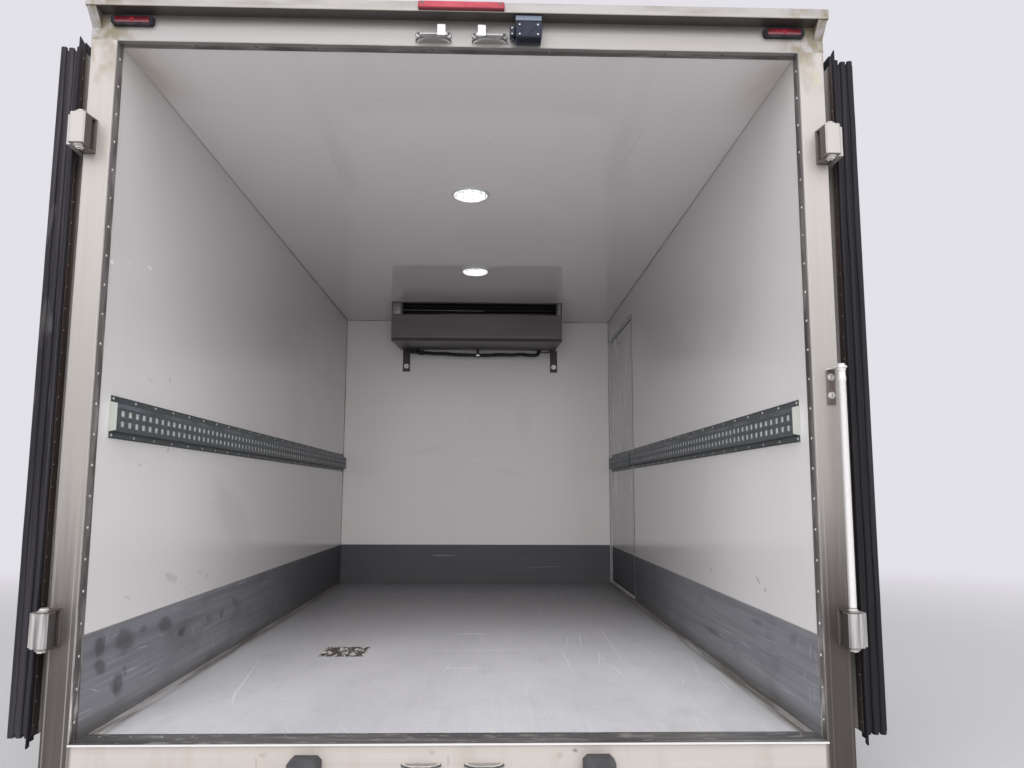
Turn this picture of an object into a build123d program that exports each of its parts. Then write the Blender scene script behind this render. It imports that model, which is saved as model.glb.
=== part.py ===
"""Insulated box body of a refrigerated truck, off its chassis, with its rear doors folded back.

Units are millimetres. The model is laid out in a box frame: X to the right as seen from behind,
Y forward from the rear face of the door frame, Z up from the load floor. Every node is then
shifted, so that the origin lies under the middle of the body, on the ground it stands on.
"""
from build123d import *
import math
import os

# Load space, inside the finished walls
inside_width = 2420
inside_height = 2365
inside_length = 4790

# Sandwich panels
side_thickness = 70
front_thickness = 85
roof_thickness = 95
floor_thickness = 110

# Rear frame of folded stainless sheet
post_width = 90
frame_depth = 112
panel_tongue = 30
header_height = 133
sill_height = 230
fold_radius = 5
canopy_reach = 60
canopy_height = 38
gusset_width = 32
gusset_drop = 52
gusset_inset = 3
threshold_plate = 6
threshold_nose = 8
lining_thickness = 3
lining_depth = 50

# Rear doors, described closed
door_thickness = 85
door_proud = 11
door_gap = 5
door_top_gap = 15
door_bottom_gap = 10
door_half_parting = 10
seal_base = 4
seal_rib = 8
seal_lip_edges = (2, 25, 29, 52, 56)
flap_thickness = 6
flap_lap = 23
flap_rise = 9
flap_tail = 12
flap_relief = 300
astragal_lap = 28
astragal_foot = 32
astragal_thickness = 5

# Rear door hinges
hinge_pin_x = 1284
hinge_pin_reach = 60
hinge_low = 358
hinge_drop = 360
pin_radius = 10
pin_head_radius = 16
pin_head_height = 9
pin_clearance = 0.3
knuckle_width = 54
knuckle_height = 106
knuckle_edge = 6
blade_thickness = 16
blade_length = 270
blade_pad = 6
ear_thickness = 7
ear_radius = 20
ear_end = 10
ear_gap = 1
bracket_web = 8
bracket_inner_x = 1255

# Lock bars, keepers and handles
bar_radius = 13.5
bar_facets = 14
bar_offset_x = 100
bar_standoff = 8.5
bar_end_gap = 7
guide_inset = 158
guide_spread = 380
guide_height = 46
guide_wing = 34
guide_wall = 6
guide_plate = 5
cam_length = 46
cam_thickness = 16
cam_width = 22
handle_height = 1010
handle_length = 300
handle_depth = 10
handle_width = 30
handle_catch = 44
keeper_width = 126
keeper_height = 40
keeper_plate = 5
keeper_reach = 38
keeper_tray = 5
keeper_top_rise = 10
keeper_bottom_z = -62
keeper_pin_rise = 24
keeper_pin_radius = 5.5
keeper_eye = 8
keeper_eye_inset = 12
keeper_taper = 34
keeper_shoulder = 12
keeper_sleeve_width = 29
keeper_sleeve_height = 42
keeper_sleeve_depth = 16

# Grab bar on the right-hand post
grab_radius = 12.5
grab_top = 1215
grab_bracket_height = 124
grab_bracket_width = 30
grab_plate = 6

# Lamps, camera and buffers of the rear frame
marker_size = (148, 18, 36)
marker_round = 13
marker_x = 1155
marker_rise = 67
strip_lamp_size = (302, 18, 30)
strip_lamp_round = 8
strip_lamp_drop = 4
camera_box = (92, 66, 54)
camera_x = 236
camera_rise = 30
camera_plug = (22, 18)
camera_visor = (50, 35)
buffer_size = (100, 52, 190)
buffer_x = 464
buffer_top = -35
buffer_corner = 14

# Kick plates and load rails of the walls
kick_height = 326
kick_thickness = 3
kick_bevel = 2
rail_bottom = 974
rail_height = 149
rail_flange = 22
rail_reach = 28
rail_sheet = 3
rail_shoulder = 6
rail_start = 128
rail_end_gap = 18
rail_slot_pitch = 60
rail_slot_width = 30
rail_slot_height = 29
rail_slot_rows = (1026, 1062)
rail_slot_margin = 40

# Side door at the front of the right-hand wall
side_frame_start = 3540
side_jamb = 25
side_front_jamb = 115
side_head = 25
side_sill = 20
side_wall_head = 190
side_gap = 6
side_seal = 10
side_door_back = 2
side_door_proud = 12
side_flap = 6
side_flap_lap = 13
side_lips = 3
side_pin_reach = 40
side_pin_inset = 4
side_knuckle_radius = 16
side_knuckle_facets = 12
side_pin_radius = 7
side_hinge_inset = 240
side_hinge_height = 80
side_blade_thickness = 14
side_blade_length = 220
side_ear = 8
side_web_width = 60
side_web = 4
side_bar_radius = 11
side_bar_inset = 75
side_bar_standoff = 6
side_guide_inset = 180
side_handle_height = 980

# Ceiling lamps and evaporator
lamp_radius = 95
lamp_drop = 16
lamp_facets = 24
lamp_places = (1475, 3015)
evaporator_width = 1420
evaporator_length = 780
evaporator_drop = 327
evaporator_rise = 55
evaporator_round = 40
outlet_width = 1285
outlet_x = 22
outlet_height = 100
outlet_depth = 90
outlet_margin = 8
louvre_thickness = 4
louvre_count = 2
louvre_post = 8
leg_places = (-656, 699)
leg_width = 66
leg_thickness = 8
leg_length = 205
hose_radius = 17
hose_from_wall = 90
hose_facets = 8
hose_seat_gap = 0.3
hose_drop = 8
hose_clip_half = 60
hose_left_end = -621
hose_right_end = 556
clip_width = 26
clip_wall = 4

# Condenser unit on the outside of the front wall
unit_width = 1760
unit_depth = 360
unit_drop = 25
unit_height = 800
unit_face_height = 470
unit_crown_depth = 250
unit_round = 60
fan_x = 400
fan_rise = 250
fan_well_half = 215
fan_well_depth = 150
fan_tip_radius = 200
fan_hub_radius = 58
fan_blade_root = 46
fan_blade_chord = 76
fan_blades = 6
fan_blade_pitch = 60
fan_blade_thickness = 5
fan_length = 52
fan_hub_facets = 18
motor_radius = 45
motor_length = 34
fan_end_gap = 5
shaft_radius = 8
shaft_facets = 12
shaft_clearance = 0.3
grille_thickness = 8
grille_frame = 10
grille_bar = 6
grille_bars = 9

# Outside rails and the steel frame under the floor
rail_angle = 4
rail_leg = 64
rail_joint = 1
cross_member_height = 80
cross_member_flange = 45
cross_member_count = 10
cross_member_half = 1180
cross_member_margin = 150
runner_height = 140
runner_width = 60
runner_x = 400
section_wall = 6
fixing_radius = 9
fixing_inset = 320

# Places that follow from the sizes above
half_inside = inside_width / 2
wall_face = half_inside + side_thickness
post_face = half_inside + post_width
front_face = inside_length + front_thickness
header_top = inside_height + header_height
canopy_bottom = header_top - canopy_height
unit_face = front_face + unit_depth
ground = -(floor_thickness + cross_member_height + runner_height)
rear_reach = hinge_pin_reach + knuckle_width / 2
origin_y = (unit_face - rear_reach) / 2
lining_face = half_inside - lining_thickness
hinge_pin = (hinge_pin_x, -hinge_pin_reach)
hinge_heights = (hinge_low, inside_height - hinge_drop)
keeper_top_z = inside_height + keeper_top_rise
marker_z = inside_height + marker_rise
camera_z = inside_height + camera_rise
unit_top = inside_height - unit_drop
unit_bottom = unit_top - unit_height
unit_face_top = unit_bottom + unit_face_height
fan_z = unit_bottom + fan_rise

to_origin = Pos(0, -origin_y, -ground)


def block(x0, x1, y0, y1, z0, z1):
    """A box between two corners."""
    return Pos((x0 + x1) / 2, (y0 + y1) / 2, (z0 + z1) / 2) * Box(x1 - x0, y1 - y0, z1 - z0)


def along_x(outline, x0, x1):
    """Extrude an outline of (y, z) points from x0 to x1."""
    plane = Plane(origin=(x0, 0, 0), x_dir=(0, 1, 0), z_dir=(1, 0, 0))
    return extrude(plane * Polygon(*outline, align=None), amount=x1 - x0, dir=(1, 0, 0))


def along_y(outline, y0, y1):
    """Extrude an outline of (x, z) points from y0 to y1."""
    plane = Plane(origin=(0, y0, 0), x_dir=(1, 0, 0), z_dir=(0, -1, 0))
    return extrude(plane * Polygon(*outline, align=None), amount=y1 - y0, dir=(0, 1, 0))


def along_z(outline, z0, z1):
    """Extrude an outline of (x, y) points from z0 to z1."""
    return extrude(Plane.XY.offset(z0) * Polygon(*outline, align=None), amount=z1 - z0, dir=(0, 0, 1))


def upright(x, y, radius, z0, z1):
    """A cylinder standing on z0."""
    return Pos(x, y, (z0 + z1) / 2) * Cylinder(radius, z1 - z0)


def prism(x, y, radius, z0, z1, sides=6):
    """A bolt head, or a bar or disc with few faces, standing on z0."""
    return extrude(Pos(x, y, z0) * RegularPolygon(radius, sides), amount=z1 - z0, dir=(0, 0, 1))


def bore_radius(radius, sides):
    """Corner radius of a bore with few faces whose flats lie at the given radius."""
    return radius / math.cos(math.pi / sides)


def crosswise(y, z, radius, x0, x1, sides=8):
    """A bar with few faces lying along X."""
    return Pos(x0, y, z) * Rot(0, 90, 0) * prism(0, 0, radius, 0, x1 - x0, sides)


def lengthwise(x, z, radius, y0, y1, sides):
    """A bar with few faces lying along Y."""
    return Pos(x, y1, z) * Rot(90, 0, 0) * prism(0, 0, radius, 0, y1 - y0, sides)


def mirrored(shape):
    """The same piece on the other side of the body."""
    return mirror(shape, about=Plane.YZ)


def save(node, *solids):
    """Write one node, moved from the box frame to the origin on the ground."""
    placed = [to_origin * solid for solid in solids]
    shape = placed[0] if len(placed) == 1 else Compound(children=placed)
    export_step(shape, f"parts/{node}.step")


# Panels of the box: floor, roof, front wall and side walls. The inner skins of the roof and the side
# walls run on as tongues into rebates of the rear frame, as far as the lining of the aperture.
tongue_x = half_inside + panel_tongue
tongue_z = inside_height + panel_tongue
wall_tongue = block(half_inside, tongue_x, lining_depth, frame_depth, 0, inside_height)
roof_tongue = block(-half_inside, half_inside, lining_depth, frame_depth, inside_height, tongue_z)


def side_wall(reach):
    """The right-hand wall from the rear frame to the given place."""
    return block(half_inside, wall_face, frame_depth, reach, 0, inside_height) + wall_tongue


def panels():
    save("floor_panel", block(-wall_face, wall_face, frame_depth, front_face, -floor_thickness, 0))
    save("roof_panel", roof_tongue + block(-wall_face, wall_face, frame_depth, front_face,
                                           inside_height, inside_height + roof_thickness))
    save("front_wall", block(-wall_face, wall_face, inside_length, front_face, 0, inside_height))
    save("left_wall", mirrored(side_wall(inside_length)))
    save("right_wall", side_wall(side_frame_start))
    save("right_wall_head", block(half_inside, wall_face, side_frame_start, inside_length,
                                  side_frame_top, inside_height))


# Rear frame: posts, header with its canopy and gussets, sill and threshold
def rear_frame():
    post = block(half_inside, post_face, 0, frame_depth, -sill_height, inside_height)
    post = fillet(post.edges().filter_by(Axis.Z).sort_by(Axis.Y)[:2], fold_radius) - wall_tongue
    save("rear_post_right", post)
    save("rear_post_left", mirrored(post))

    header = along_x([(0, inside_height), (0, canopy_bottom), (-canopy_reach, canopy_bottom),
                      (-canopy_reach, header_top), (frame_depth, header_top),
                      (frame_depth, inside_height)], -post_face, post_face)
    header = fillet(header.edges().filter_by(Axis.X).group_by(Axis.Y)[0], fold_radius) - roof_tongue
    gusset_x = post_face - gusset_inset
    gusset = along_x([(0, canopy_bottom), (-canopy_reach + fold_radius, canopy_bottom),
                      (0, canopy_bottom - gusset_drop)], gusset_x - gusset_width, gusset_x)
    save("rear_header", header + gusset + mirrored(gusset))

    save("rear_sill", block(-half_inside, half_inside, 0, frame_depth, -sill_height, -threshold_plate))
    save("threshold", block(-half_inside, half_inside, -threshold_nose, frame_depth, -threshold_plate, 0))
    save("aperture_lining",
         block(-half_inside, half_inside, 0, lining_depth, 0, inside_height)
         - block(-lining_face, lining_face, 0, lining_depth, 0, inside_height - lining_thickness))


# Outside edge rails of aluminium angle, and the posts at the front corners
def edge_rails():
    roof_line = inside_height + roof_thickness
    outside = wall_face + rail_angle
    inner = wall_face - rail_leg
    nose = front_face + rail_angle
    roof_side = along_y([(inner, roof_line), (wall_face, roof_line), (wall_face, roof_line - rail_leg),
                         (outside, roof_line - rail_leg), (outside, roof_line + rail_angle),
                         (inner, roof_line + rail_angle)], frame_depth, front_face - rail_joint)
    roof_front = along_x([(front_face - rail_leg, roof_line), (front_face, roof_line),
                          (front_face, roof_line - rail_leg), (nose, roof_line - rail_leg),
                          (nose, roof_line + rail_angle), (front_face - rail_leg, roof_line + rail_angle)],
                         -inner + rail_joint, inner - rail_joint)
    save("roof_rails", roof_side, mirrored(roof_side), roof_front)

    floor_side = along_y([(wall_face, -side_seal), (outside, -side_seal),
                          (outside, -floor_thickness - rail_angle), (inner, -floor_thickness - rail_angle),
                          (inner, -floor_thickness), (wall_face, -floor_thickness)],
                         frame_depth, front_face - rail_joint)
    floor_front = along_x([(front_face, -side_seal), (nose, -side_seal),
                           (nose, -floor_thickness - rail_angle),
                           (front_face - rail_leg, -floor_thickness - rail_angle),
                           (front_face - rail_leg, -floor_thickness), (front_face, -floor_thickness)],
                          -inner + rail_joint, inner - rail_joint)
    save("floor_rails", floor_side, mirrored(floor_side), floor_front)

    corner = along_z([(wall_face, inside_length), (outside, inside_length), (outside, nose),
                      (inner, nose), (inner, front_face), (wall_face, front_face)],
                     0, roof_line - rail_leg - rail_joint)
    save("front_corner_posts", corner, mirrored(corner))


# Kick plates: aluminium sheet along the foot of the walls, bevelled at its upper edge
def kick_plate(reach):
    """One plate of the given length along Y, with its back on X = 0 and its face towards -X."""
    return along_y([(0, 0), (-kick_thickness, 0), (-kick_thickness, kick_height - kick_bevel),
                    (kick_bevel - kick_thickness, kick_height), (0, kick_height)], 0, reach)


def wall_kick_plate(end):
    """A plate along the right-hand wall, from the lining of the aperture to the given place."""
    return Pos(half_inside, lining_depth, 0) * kick_plate(end - lining_depth)


def kick_plates():
    save("kick_plate_left", mirrored(wall_kick_plate(inside_length)))
    save("kick_plate_right", wall_kick_plate(side_frame_start))
    front_reach = inside_width - 2 * kick_thickness
    front = Pos(front_reach / 2, inside_length, 0) * Rot(0, 0, 90) * kick_plate(front_reach)
    save("kick_plate_front", front)


# Load rails: hat section with two rows of slots, closed by a cap at the rear end
def load_rail(reach):
    """One rail of the given length along Y, with its flanges on X = 0 and its web towards -X."""
    inner_foot = rail_flange + rail_sheet
    hat = along_y([(0, 0), (-rail_sheet, 0), (-rail_sheet, rail_flange),
                   (-rail_reach, rail_flange + rail_shoulder),
                   (-rail_reach, rail_height - rail_flange - rail_shoulder),
                   (-rail_sheet, rail_height - rail_flange), (-rail_sheet, rail_height), (0, rail_height),
                   (0, rail_height - inner_foot),
                   (-rail_reach + rail_sheet, rail_height - inner_foot - rail_shoulder),
                   (-rail_reach + rail_sheet, inner_foot + rail_shoulder),
                   (0, inner_foot)], 0, reach)
    cap = along_y([(0, inner_foot), (-rail_reach + rail_sheet, inner_foot + rail_shoulder),
                   (-rail_reach + rail_sheet, rail_height - inner_foot - rail_shoulder),
                   (0, rail_height - inner_foot)], 0, rail_sheet)
    count = int((reach - 2 * rail_slot_margin) / rail_slot_pitch) + 1
    first = (reach - (count - 1) * rail_slot_pitch) / 2
    slots = [block(-rail_reach, -rail_reach + rail_sheet,
                   first + place * rail_slot_pitch - rail_slot_width / 2,
                   first + place * rail_slot_pitch + rail_slot_width / 2,
                   row - rail_bottom - rail_slot_height / 2, row - rail_bottom + rail_slot_height / 2)
             for place in range(count) for row in rail_slot_rows]
    return hat + cap - slots


def load_rails():
    left = Pos(half_inside, rail_start, rail_bottom) * load_rail(inside_length - rail_start)
    save("load_rail_left", mirrored(left))
    save("load_rail_right",
         Pos(half_inside, rail_start, rail_bottom) * load_rail(side_frame_start - rail_end_gap - rail_start))


# Rear door, built closed on the right-hand side
leaf_outer_x = lining_face - door_gap
seal_outset = seal_base + seal_rib
leaf_bottom = door_bottom_gap + seal_outset
leaf_top = inside_height - lining_thickness - door_top_gap - seal_outset
leaf_start_x = door_half_parting + seal_outset
leaf_end_x = leaf_outer_x - seal_outset
door_inner_y = door_thickness - door_proud
blade_outer_y = -door_proud - blade_pad - blade_thickness
guide_heights = (leaf_bottom + guide_inset, handle_height - guide_spread, handle_height + guide_spread,
                 leaf_top - guide_inset)


def door_band(outset, y0, y1):
    """A band round the edge of the leaf, standing out by outset between y0 and y1."""
    return (block(leaf_start_x - outset, leaf_end_x + outset, y0, y1,
                  leaf_bottom - outset, leaf_top + outset)
            - block(leaf_start_x, leaf_end_x, y0, y1, leaf_bottom, leaf_top))


def door_leaf():
    return block(leaf_start_x, leaf_end_x, -door_proud, door_inner_y, leaf_bottom, leaf_top)


def door_seal():
    """Rubber edge with three lips, and a flap that laps the face of the frame."""
    flap_inner_y = -door_proud + flap_thickness
    seal = door_band(seal_base, flap_inner_y, door_inner_y)
    # Edges of the lips behind the flap, in pairs; the widest lip ends at the inner face of the door
    edges = [flap_inner_y + edge for edge in seal_lip_edges] + [door_inner_y]
    for start, end in zip(edges[::2], edges[1::2]):
        seal += door_band(seal_outset, start, end)
    flap_x = half_inside + flap_lap
    flap_top = inside_height + flap_rise
    seal += block(leaf_end_x, flap_x, -door_proud, flap_inner_y, door_gap, flap_top)
    seal += block(half_inside + door_gap, flap_x, -door_proud, flap_inner_y, -flap_tail, door_gap)
    seal += block(flap_relief, leaf_end_x, -door_proud, flap_inner_y, leaf_top, flap_top)
    return seal


def hinge_blades():
    """Two blades bolted to the leaf, each with a square knuckle on the pin."""
    blades = []
    x, y = hinge_pin
    half = knuckle_width / 2
    for z in hinge_heights:
        low = z - knuckle_height / 2
        high = z + knuckle_height / 2
        knuckle = block(x - half, x + half, y - half, y + half, low, high)
        knuckle = chamfer(knuckle.edges().filter_by(Axis.Z), knuckle_edge)
        blade = block(x - blade_length, x, blade_outer_y, blade_outer_y + blade_thickness, low, high)
        pad = block(x - blade_length, leaf_end_x, -door_proud - blade_pad, -door_proud, low, high)
        blades.append(knuckle + blade + pad - upright(x, y, pin_radius + pin_clearance, low, high))
    return blades


def lock_bar():
    """Upright bar with a hooked cam at each end, its guides and its folding handle."""
    x = bar_offset_x
    y = -door_proud - bar_standoff - bar_radius
    low = keeper_bottom_z + bar_end_gap
    high = keeper_top_z - bar_end_gap
    bar = prism(x, y, bar_radius, low, high, bar_facets)
    for z in (low, high - cam_thickness):
        bar += block(x, x + cam_length, y - cam_width / 2, y + cam_width / 2, z, z + cam_thickness)
        bar += block(x + cam_length - cam_width / 2, x + cam_length, y - cam_width / 2,
                     y + cam_width, z, z + cam_thickness)
    for z in guide_heights:
        foot = -door_proud - guide_plate
        half = bar_radius + guide_wall
        bar += block(x - half, x + half, y - half + guide_wall / 2, -door_proud,
                     z - guide_height / 2, z + guide_height / 2)
        bar += block(x - guide_wing, x + guide_wing, foot, -door_proud,
                     z - guide_height / 2, z + guide_height / 2)
    bar += block(x, x + handle_length, y - bar_radius, y - bar_radius + handle_depth,
                 handle_height - handle_width / 2, handle_height + handle_width / 2)
    catch_x = x + handle_length - handle_catch
    bar += block(catch_x, catch_x + handle_width, y - bar_radius + handle_depth, -door_proud,
                 handle_height - handle_catch / 2, handle_height + handle_catch / 2)
    return bar


def astragal():
    """Strip on the right-hand door that covers the parting between the doors."""
    foot_y = -door_proud - flap_thickness
    foot = block(leaf_start_x, leaf_start_x + astragal_foot, foot_y, -door_proud, leaf_bottom, leaf_top)
    lap = block(-astragal_lap, leaf_start_x + astragal_foot, foot_y - astragal_thickness, foot_y,
                leaf_bottom, leaf_top)
    return foot + lap


def rear_doors():
    x, y = hinge_pin
    fold = Pos(x, y, 0) * Rot(0, 0, 270) * Pos(-x, -y, 0)
    leaf = fold * door_leaf()
    seal = fold * door_seal()
    bar = fold * lock_bar()
    blades = [fold * blade for blade in hinge_blades()]
    save("right_door_leaf", leaf)
    save("right_door_seal", seal)
    save("right_door_lock_bar", bar)
    save("right_door_hinge_blades", *blades)
    save("right_door_astragal", fold * astragal())
    save("left_door_leaf", mirrored(leaf))
    save("left_door_seal", mirrored(seal))
    save("left_door_lock_bar", mirrored(bar))
    save("left_door_hinge_blades", *[mirrored(blade) for blade in blades])


# Hinge brackets on the posts: a web, two ears and the pin
def ear(inner_x, x, y, low):
    """A plate that stands out from the post and tapers to a blunt end round the pin."""
    return along_z([(inner_x, 0), (post_face, 0), (x + ear_radius, y + ear_end),
                    (x + ear_end, y - ear_radius), (x - ear_end, y - ear_radius),
                    (x - ear_radius, y + ear_end)], low, low + ear_thickness)


def hinge_brackets():
    x, y = hinge_pin
    brackets = []
    for z in hinge_heights:
        reach = knuckle_height / 2 + ear_gap + ear_thickness
        bracket = block(bracket_inner_x, post_face, -bracket_web, 0, z - reach, z + reach)
        for low in (z - reach, z + reach - ear_thickness):
            bracket += ear(bracket_inner_x, x, y, low)
        bracket += upright(x, y, pin_radius, z - reach, z + reach)
        bracket += prism(x, y, pin_head_radius, z - reach - pin_head_height, z - reach)
        bracket += prism(x, y, pin_head_radius, z + reach, z + reach + pin_head_height)
        brackets.append(bracket)
    save("hinge_brackets", *brackets, *[mirrored(bracket) for bracket in brackets])


# Grab bar: a tube on the line of the hinge pins, from the lower hinge to its own bracket
def grab_bar():
    x, y = hinge_pin
    start = hinge_heights[0] + knuckle_height / 2 + ear_gap + ear_thickness + pin_head_height
    tube = upright(x, y, grab_radius, start, grab_top)
    plate = block(bracket_inner_x, bracket_inner_x + grab_bracket_width, -grab_plate, 0,
                  grab_top - grab_bracket_height, grab_top)
    tab = along_z([(bracket_inner_x, 0), (bracket_inner_x + grab_bracket_width, 0),
                   (x + ear_radius, y), (x + ear_end, y - ear_radius), (x - ear_end, y - ear_radius),
                   (x - ear_radius, y)], grab_top - grab_plate, grab_top)
    head = prism(x, y, pin_head_radius, grab_top, grab_top + pin_head_height)
    save("grab_bar", tube + plate + tab + head)


# Lock keepers: a back plate, a tapered tray that guides the cam, and a pin with a plastic block on it
def lock_keepers():
    x0 = bar_offset_x - keeper_width / 2
    x1 = bar_offset_x + keeper_width / 2
    pin_y = -keeper_reach / 2
    keepers = []
    # Each row is the edge next to the door and the direction away from it
    for edge, away in ((keeper_top_z, 1), (keeper_bottom_z, -1)):
        far = edge + away * keeper_height
        pin_z = edge + away * keeper_pin_rise
        tray_far = edge + away * keeper_tray
        keeper = block(x0, x1, -keeper_plate, 0, min(edge, far), max(edge, far))
        keeper += along_z([(x0, 0), (x1, 0), (x1, -keeper_shoulder), (x1 - keeper_taper, -keeper_reach),
                           (x0 + keeper_taper, -keeper_reach), (x0, -keeper_shoulder)],
                          min(edge, tray_far), max(edge, tray_far))
        for x in (x0 + keeper_eye_inset, x1 - keeper_eye_inset - keeper_eye):
            keeper += block(x, x + keeper_eye, pin_y - keeper_eye, 0, pin_z - keeper_eye, pin_z + keeper_eye)
        keeper += crosswise(pin_y, pin_z, keeper_pin_radius, x0 + keeper_eye_inset, x1 - keeper_eye_inset)
        sleeve_x = x0 + keeper_eye_inset + keeper_eye
        sleeve_z = pin_z + away * (keeper_sleeve_height / 2 - keeper_eye)
        keeper += block(sleeve_x, sleeve_x + keeper_sleeve_width, pin_y - keeper_sleeve_depth / 2,
                        pin_y + keeper_sleeve_depth / 2, sleeve_z - keeper_sleeve_height / 2,
                        sleeve_z + keeper_sleeve_height / 2)
        keepers.append(keeper)
    save("lock_keepers", *keepers, *[mirrored(keeper) for keeper in keepers])


# Lamps, camera and buffers of the rear frame
def rear_fittings():
    width, depth, height = marker_size
    marker = block(marker_x - width / 2, marker_x + width / 2, -depth, 0,
                   marker_z - height / 2, marker_z + height / 2)
    marker = fillet(marker.edges().filter_by(Axis.Y), marker_round)
    save("marker_lamps", marker, mirrored(marker))

    width, depth, height = strip_lamp_size
    strip_z = header_top - canopy_height / 2 - strip_lamp_drop
    strip = block(-width / 2, width / 2, -canopy_reach - depth, -canopy_reach,
                  strip_z - height / 2, strip_z + height / 2)
    save("high_level_lamp", fillet(strip.edges().filter_by(Axis.Y), strip_lamp_round))

    width, depth, height = camera_box
    stub_length, stub_height = camera_plug
    camera = block(camera_x - width / 2, camera_x + width / 2, -depth, 0,
                   camera_z - height / 2, camera_z + height / 2)
    visor_reach, visor_height = camera_visor
    top = camera_z + height / 2
    camera += along_x([(0, top), (-depth, top), (-visor_reach, top + visor_height), (0, top + visor_height)],
                      camera_x - width / 2, camera_x + width / 2)
    camera += crosswise(-depth / 2, camera_z, stub_height / 2,
                        camera_x - width / 2 - stub_length, camera_x - width / 2)
    save("reversing_camera", camera)

    width, depth, height = buffer_size
    pad = block(buffer_x - width / 2, buffer_x + width / 2, -depth, 0, buffer_top - height, buffer_top)
    pad = chamfer(pad.edges().filter_by(Axis.Y), buffer_corner)
    save("buffers", pad, mirrored(pad))


# Side door: frame, leaf, seal, hinges and lock
side_frame_top = inside_height - side_wall_head
side_start = side_frame_start + side_jamb
side_end = inside_length - side_front_jamb
side_low = side_sill
side_high = side_frame_top - side_head
side_outer_x = wall_face + side_door_proud
side_inner_x = half_inside + side_door_back
side_pin = (wall_face + side_pin_reach, side_frame_start - side_pin_inset)
side_hinge_heights = (side_low + side_hinge_inset, (side_low + side_high) / 2,
                      side_high - side_hinge_inset)
side_guide_heights = (side_low + side_guide_inset, side_handle_height + 2 * side_guide_inset,
                      side_high - side_guide_inset)


def side_band(outset, x0, x1):
    """A band round the edge of the side door, standing out by outset."""
    inner = side_gap + side_seal
    return (block(x0, x1, side_start + inner - outset, side_end - inner + outset,
                  side_low + inner - outset, side_high - inner + outset)
            - block(x0, x1, side_start + inner, side_end - inner, side_low + inner, side_high - inner))


def side_door():
    frame = (block(half_inside, wall_face, side_frame_start, inside_length, 0, side_frame_top)
             - block(half_inside, wall_face, side_start, side_end, side_low, side_high))
    save("side_door_frame", frame)

    inner = side_gap + side_seal
    save("side_door_leaf", block(side_inner_x, side_outer_x, side_start + inner, side_end - inner,
                                 side_low + inner, side_high - inner))
    seal = side_band(side_seal / 2, side_inner_x, side_outer_x)
    pitch = (side_outer_x - side_flap - side_inner_x) / side_lips
    for lip in range(side_lips):
        start = side_inner_x + lip * pitch
        seal += side_band(side_seal, start, start + pitch / 2)
    seal += side_band(inner + side_flap_lap, side_outer_x - side_flap, side_outer_x)
    save("side_door_seal", seal)

    kick_reach = side_end - side_start - 2 * inner
    kick_base = side_low + inner
    kick = Pos(side_inner_x, side_start + inner, 0) * kick_plate(kick_reach)
    save("side_door_kick_plate", kick & block(0, wall_face, side_start, side_end, kick_base, kick_height))
    save("side_door_load_rail", Pos(side_inner_x, side_start + inner + rail_end_gap, rail_bottom)
         * load_rail(kick_reach - rail_end_gap))

    x, y = side_pin
    blades = []
    brackets = []
    for z in side_hinge_heights:
        low = z - side_hinge_height / 2
        high = z + side_hinge_height / 2
        blade_x = side_outer_x + side_blade_thickness
        blade = along_z([(side_outer_x, y), (side_outer_x, y + side_blade_length),
                         (blade_x, y + side_blade_length), (blade_x, y + 2 * side_knuckle_radius),
                         (x, y + side_knuckle_radius), (x, y)], low, high)
        blade += prism(x, y, side_knuckle_radius, low, high, side_knuckle_facets)
        bore = bore_radius(side_pin_radius + pin_clearance, side_knuckle_facets)
        blades.append(blade - prism(x, y, bore, low, high, side_knuckle_facets))
        reach = side_hinge_height / 2 + ear_gap + side_ear
        bracket = block(wall_face, wall_face + side_web, y - side_web_width, y, z - reach, z + reach)
        for base in (z - reach, z + reach - side_ear):
            bracket += along_z([(wall_face, y - side_web_width), (wall_face, y),
                                (x, y + side_knuckle_radius), (x + side_knuckle_radius, y),
                                (x, y - side_knuckle_radius)], base, base + side_ear)
        bracket += prism(x, y, side_pin_radius, z - reach, z + reach, side_knuckle_facets)
        brackets.append(bracket)
    save("side_door_hinge_blades", *blades)
    save("side_hinge_brackets", *brackets)

    bar_x = side_outer_x + side_bar_standoff + side_bar_radius
    bar_y = side_end - side_gap - side_bar_inset
    bar = prism(bar_x, bar_y, side_bar_radius, side_low, side_high, bar_facets)
    half = side_bar_radius + guide_wall
    for z in side_guide_heights:
        bar += block(side_outer_x, bar_x + half - guide_wall / 2, bar_y - half, bar_y + half,
                     z - guide_height / 2, z + guide_height / 2)
    handle_x = bar_x + side_bar_radius
    bar += block(handle_x - handle_depth, handle_x, bar_y - handle_length, bar_y,
                 side_handle_height - handle_width / 2, side_handle_height + handle_width / 2)
    bar += block(side_outer_x, handle_x - handle_depth, bar_y - handle_length + handle_catch,
                 bar_y - handle_length + handle_catch + handle_width,
                 side_handle_height - handle_catch / 2, side_handle_height + handle_catch / 2)
    save("side_door_lock_bar", bar)


# Ceiling lamps on the middle line of the roof
def ceiling_lamps():
    lamps = [prism(0, y, lamp_radius, inside_height - lamp_drop, inside_height, lamp_facets)
             for y in lamp_places]
    save("ceiling_lamps", *[chamfer(lamp.edges().group_by(Axis.Z)[0], lamp_drop / 2) for lamp in lamps])


# Evaporator under the ceiling, against the front wall
evaporator_face = inside_length - evaporator_length
evaporator_bottom = inside_height - evaporator_drop
evaporator_heel = evaporator_bottom + evaporator_rise


def underside(y):
    """Height of the evaporator's sloping drain pan at y."""
    share = (y - evaporator_face) / evaporator_length
    return evaporator_bottom + share * evaporator_rise


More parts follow.
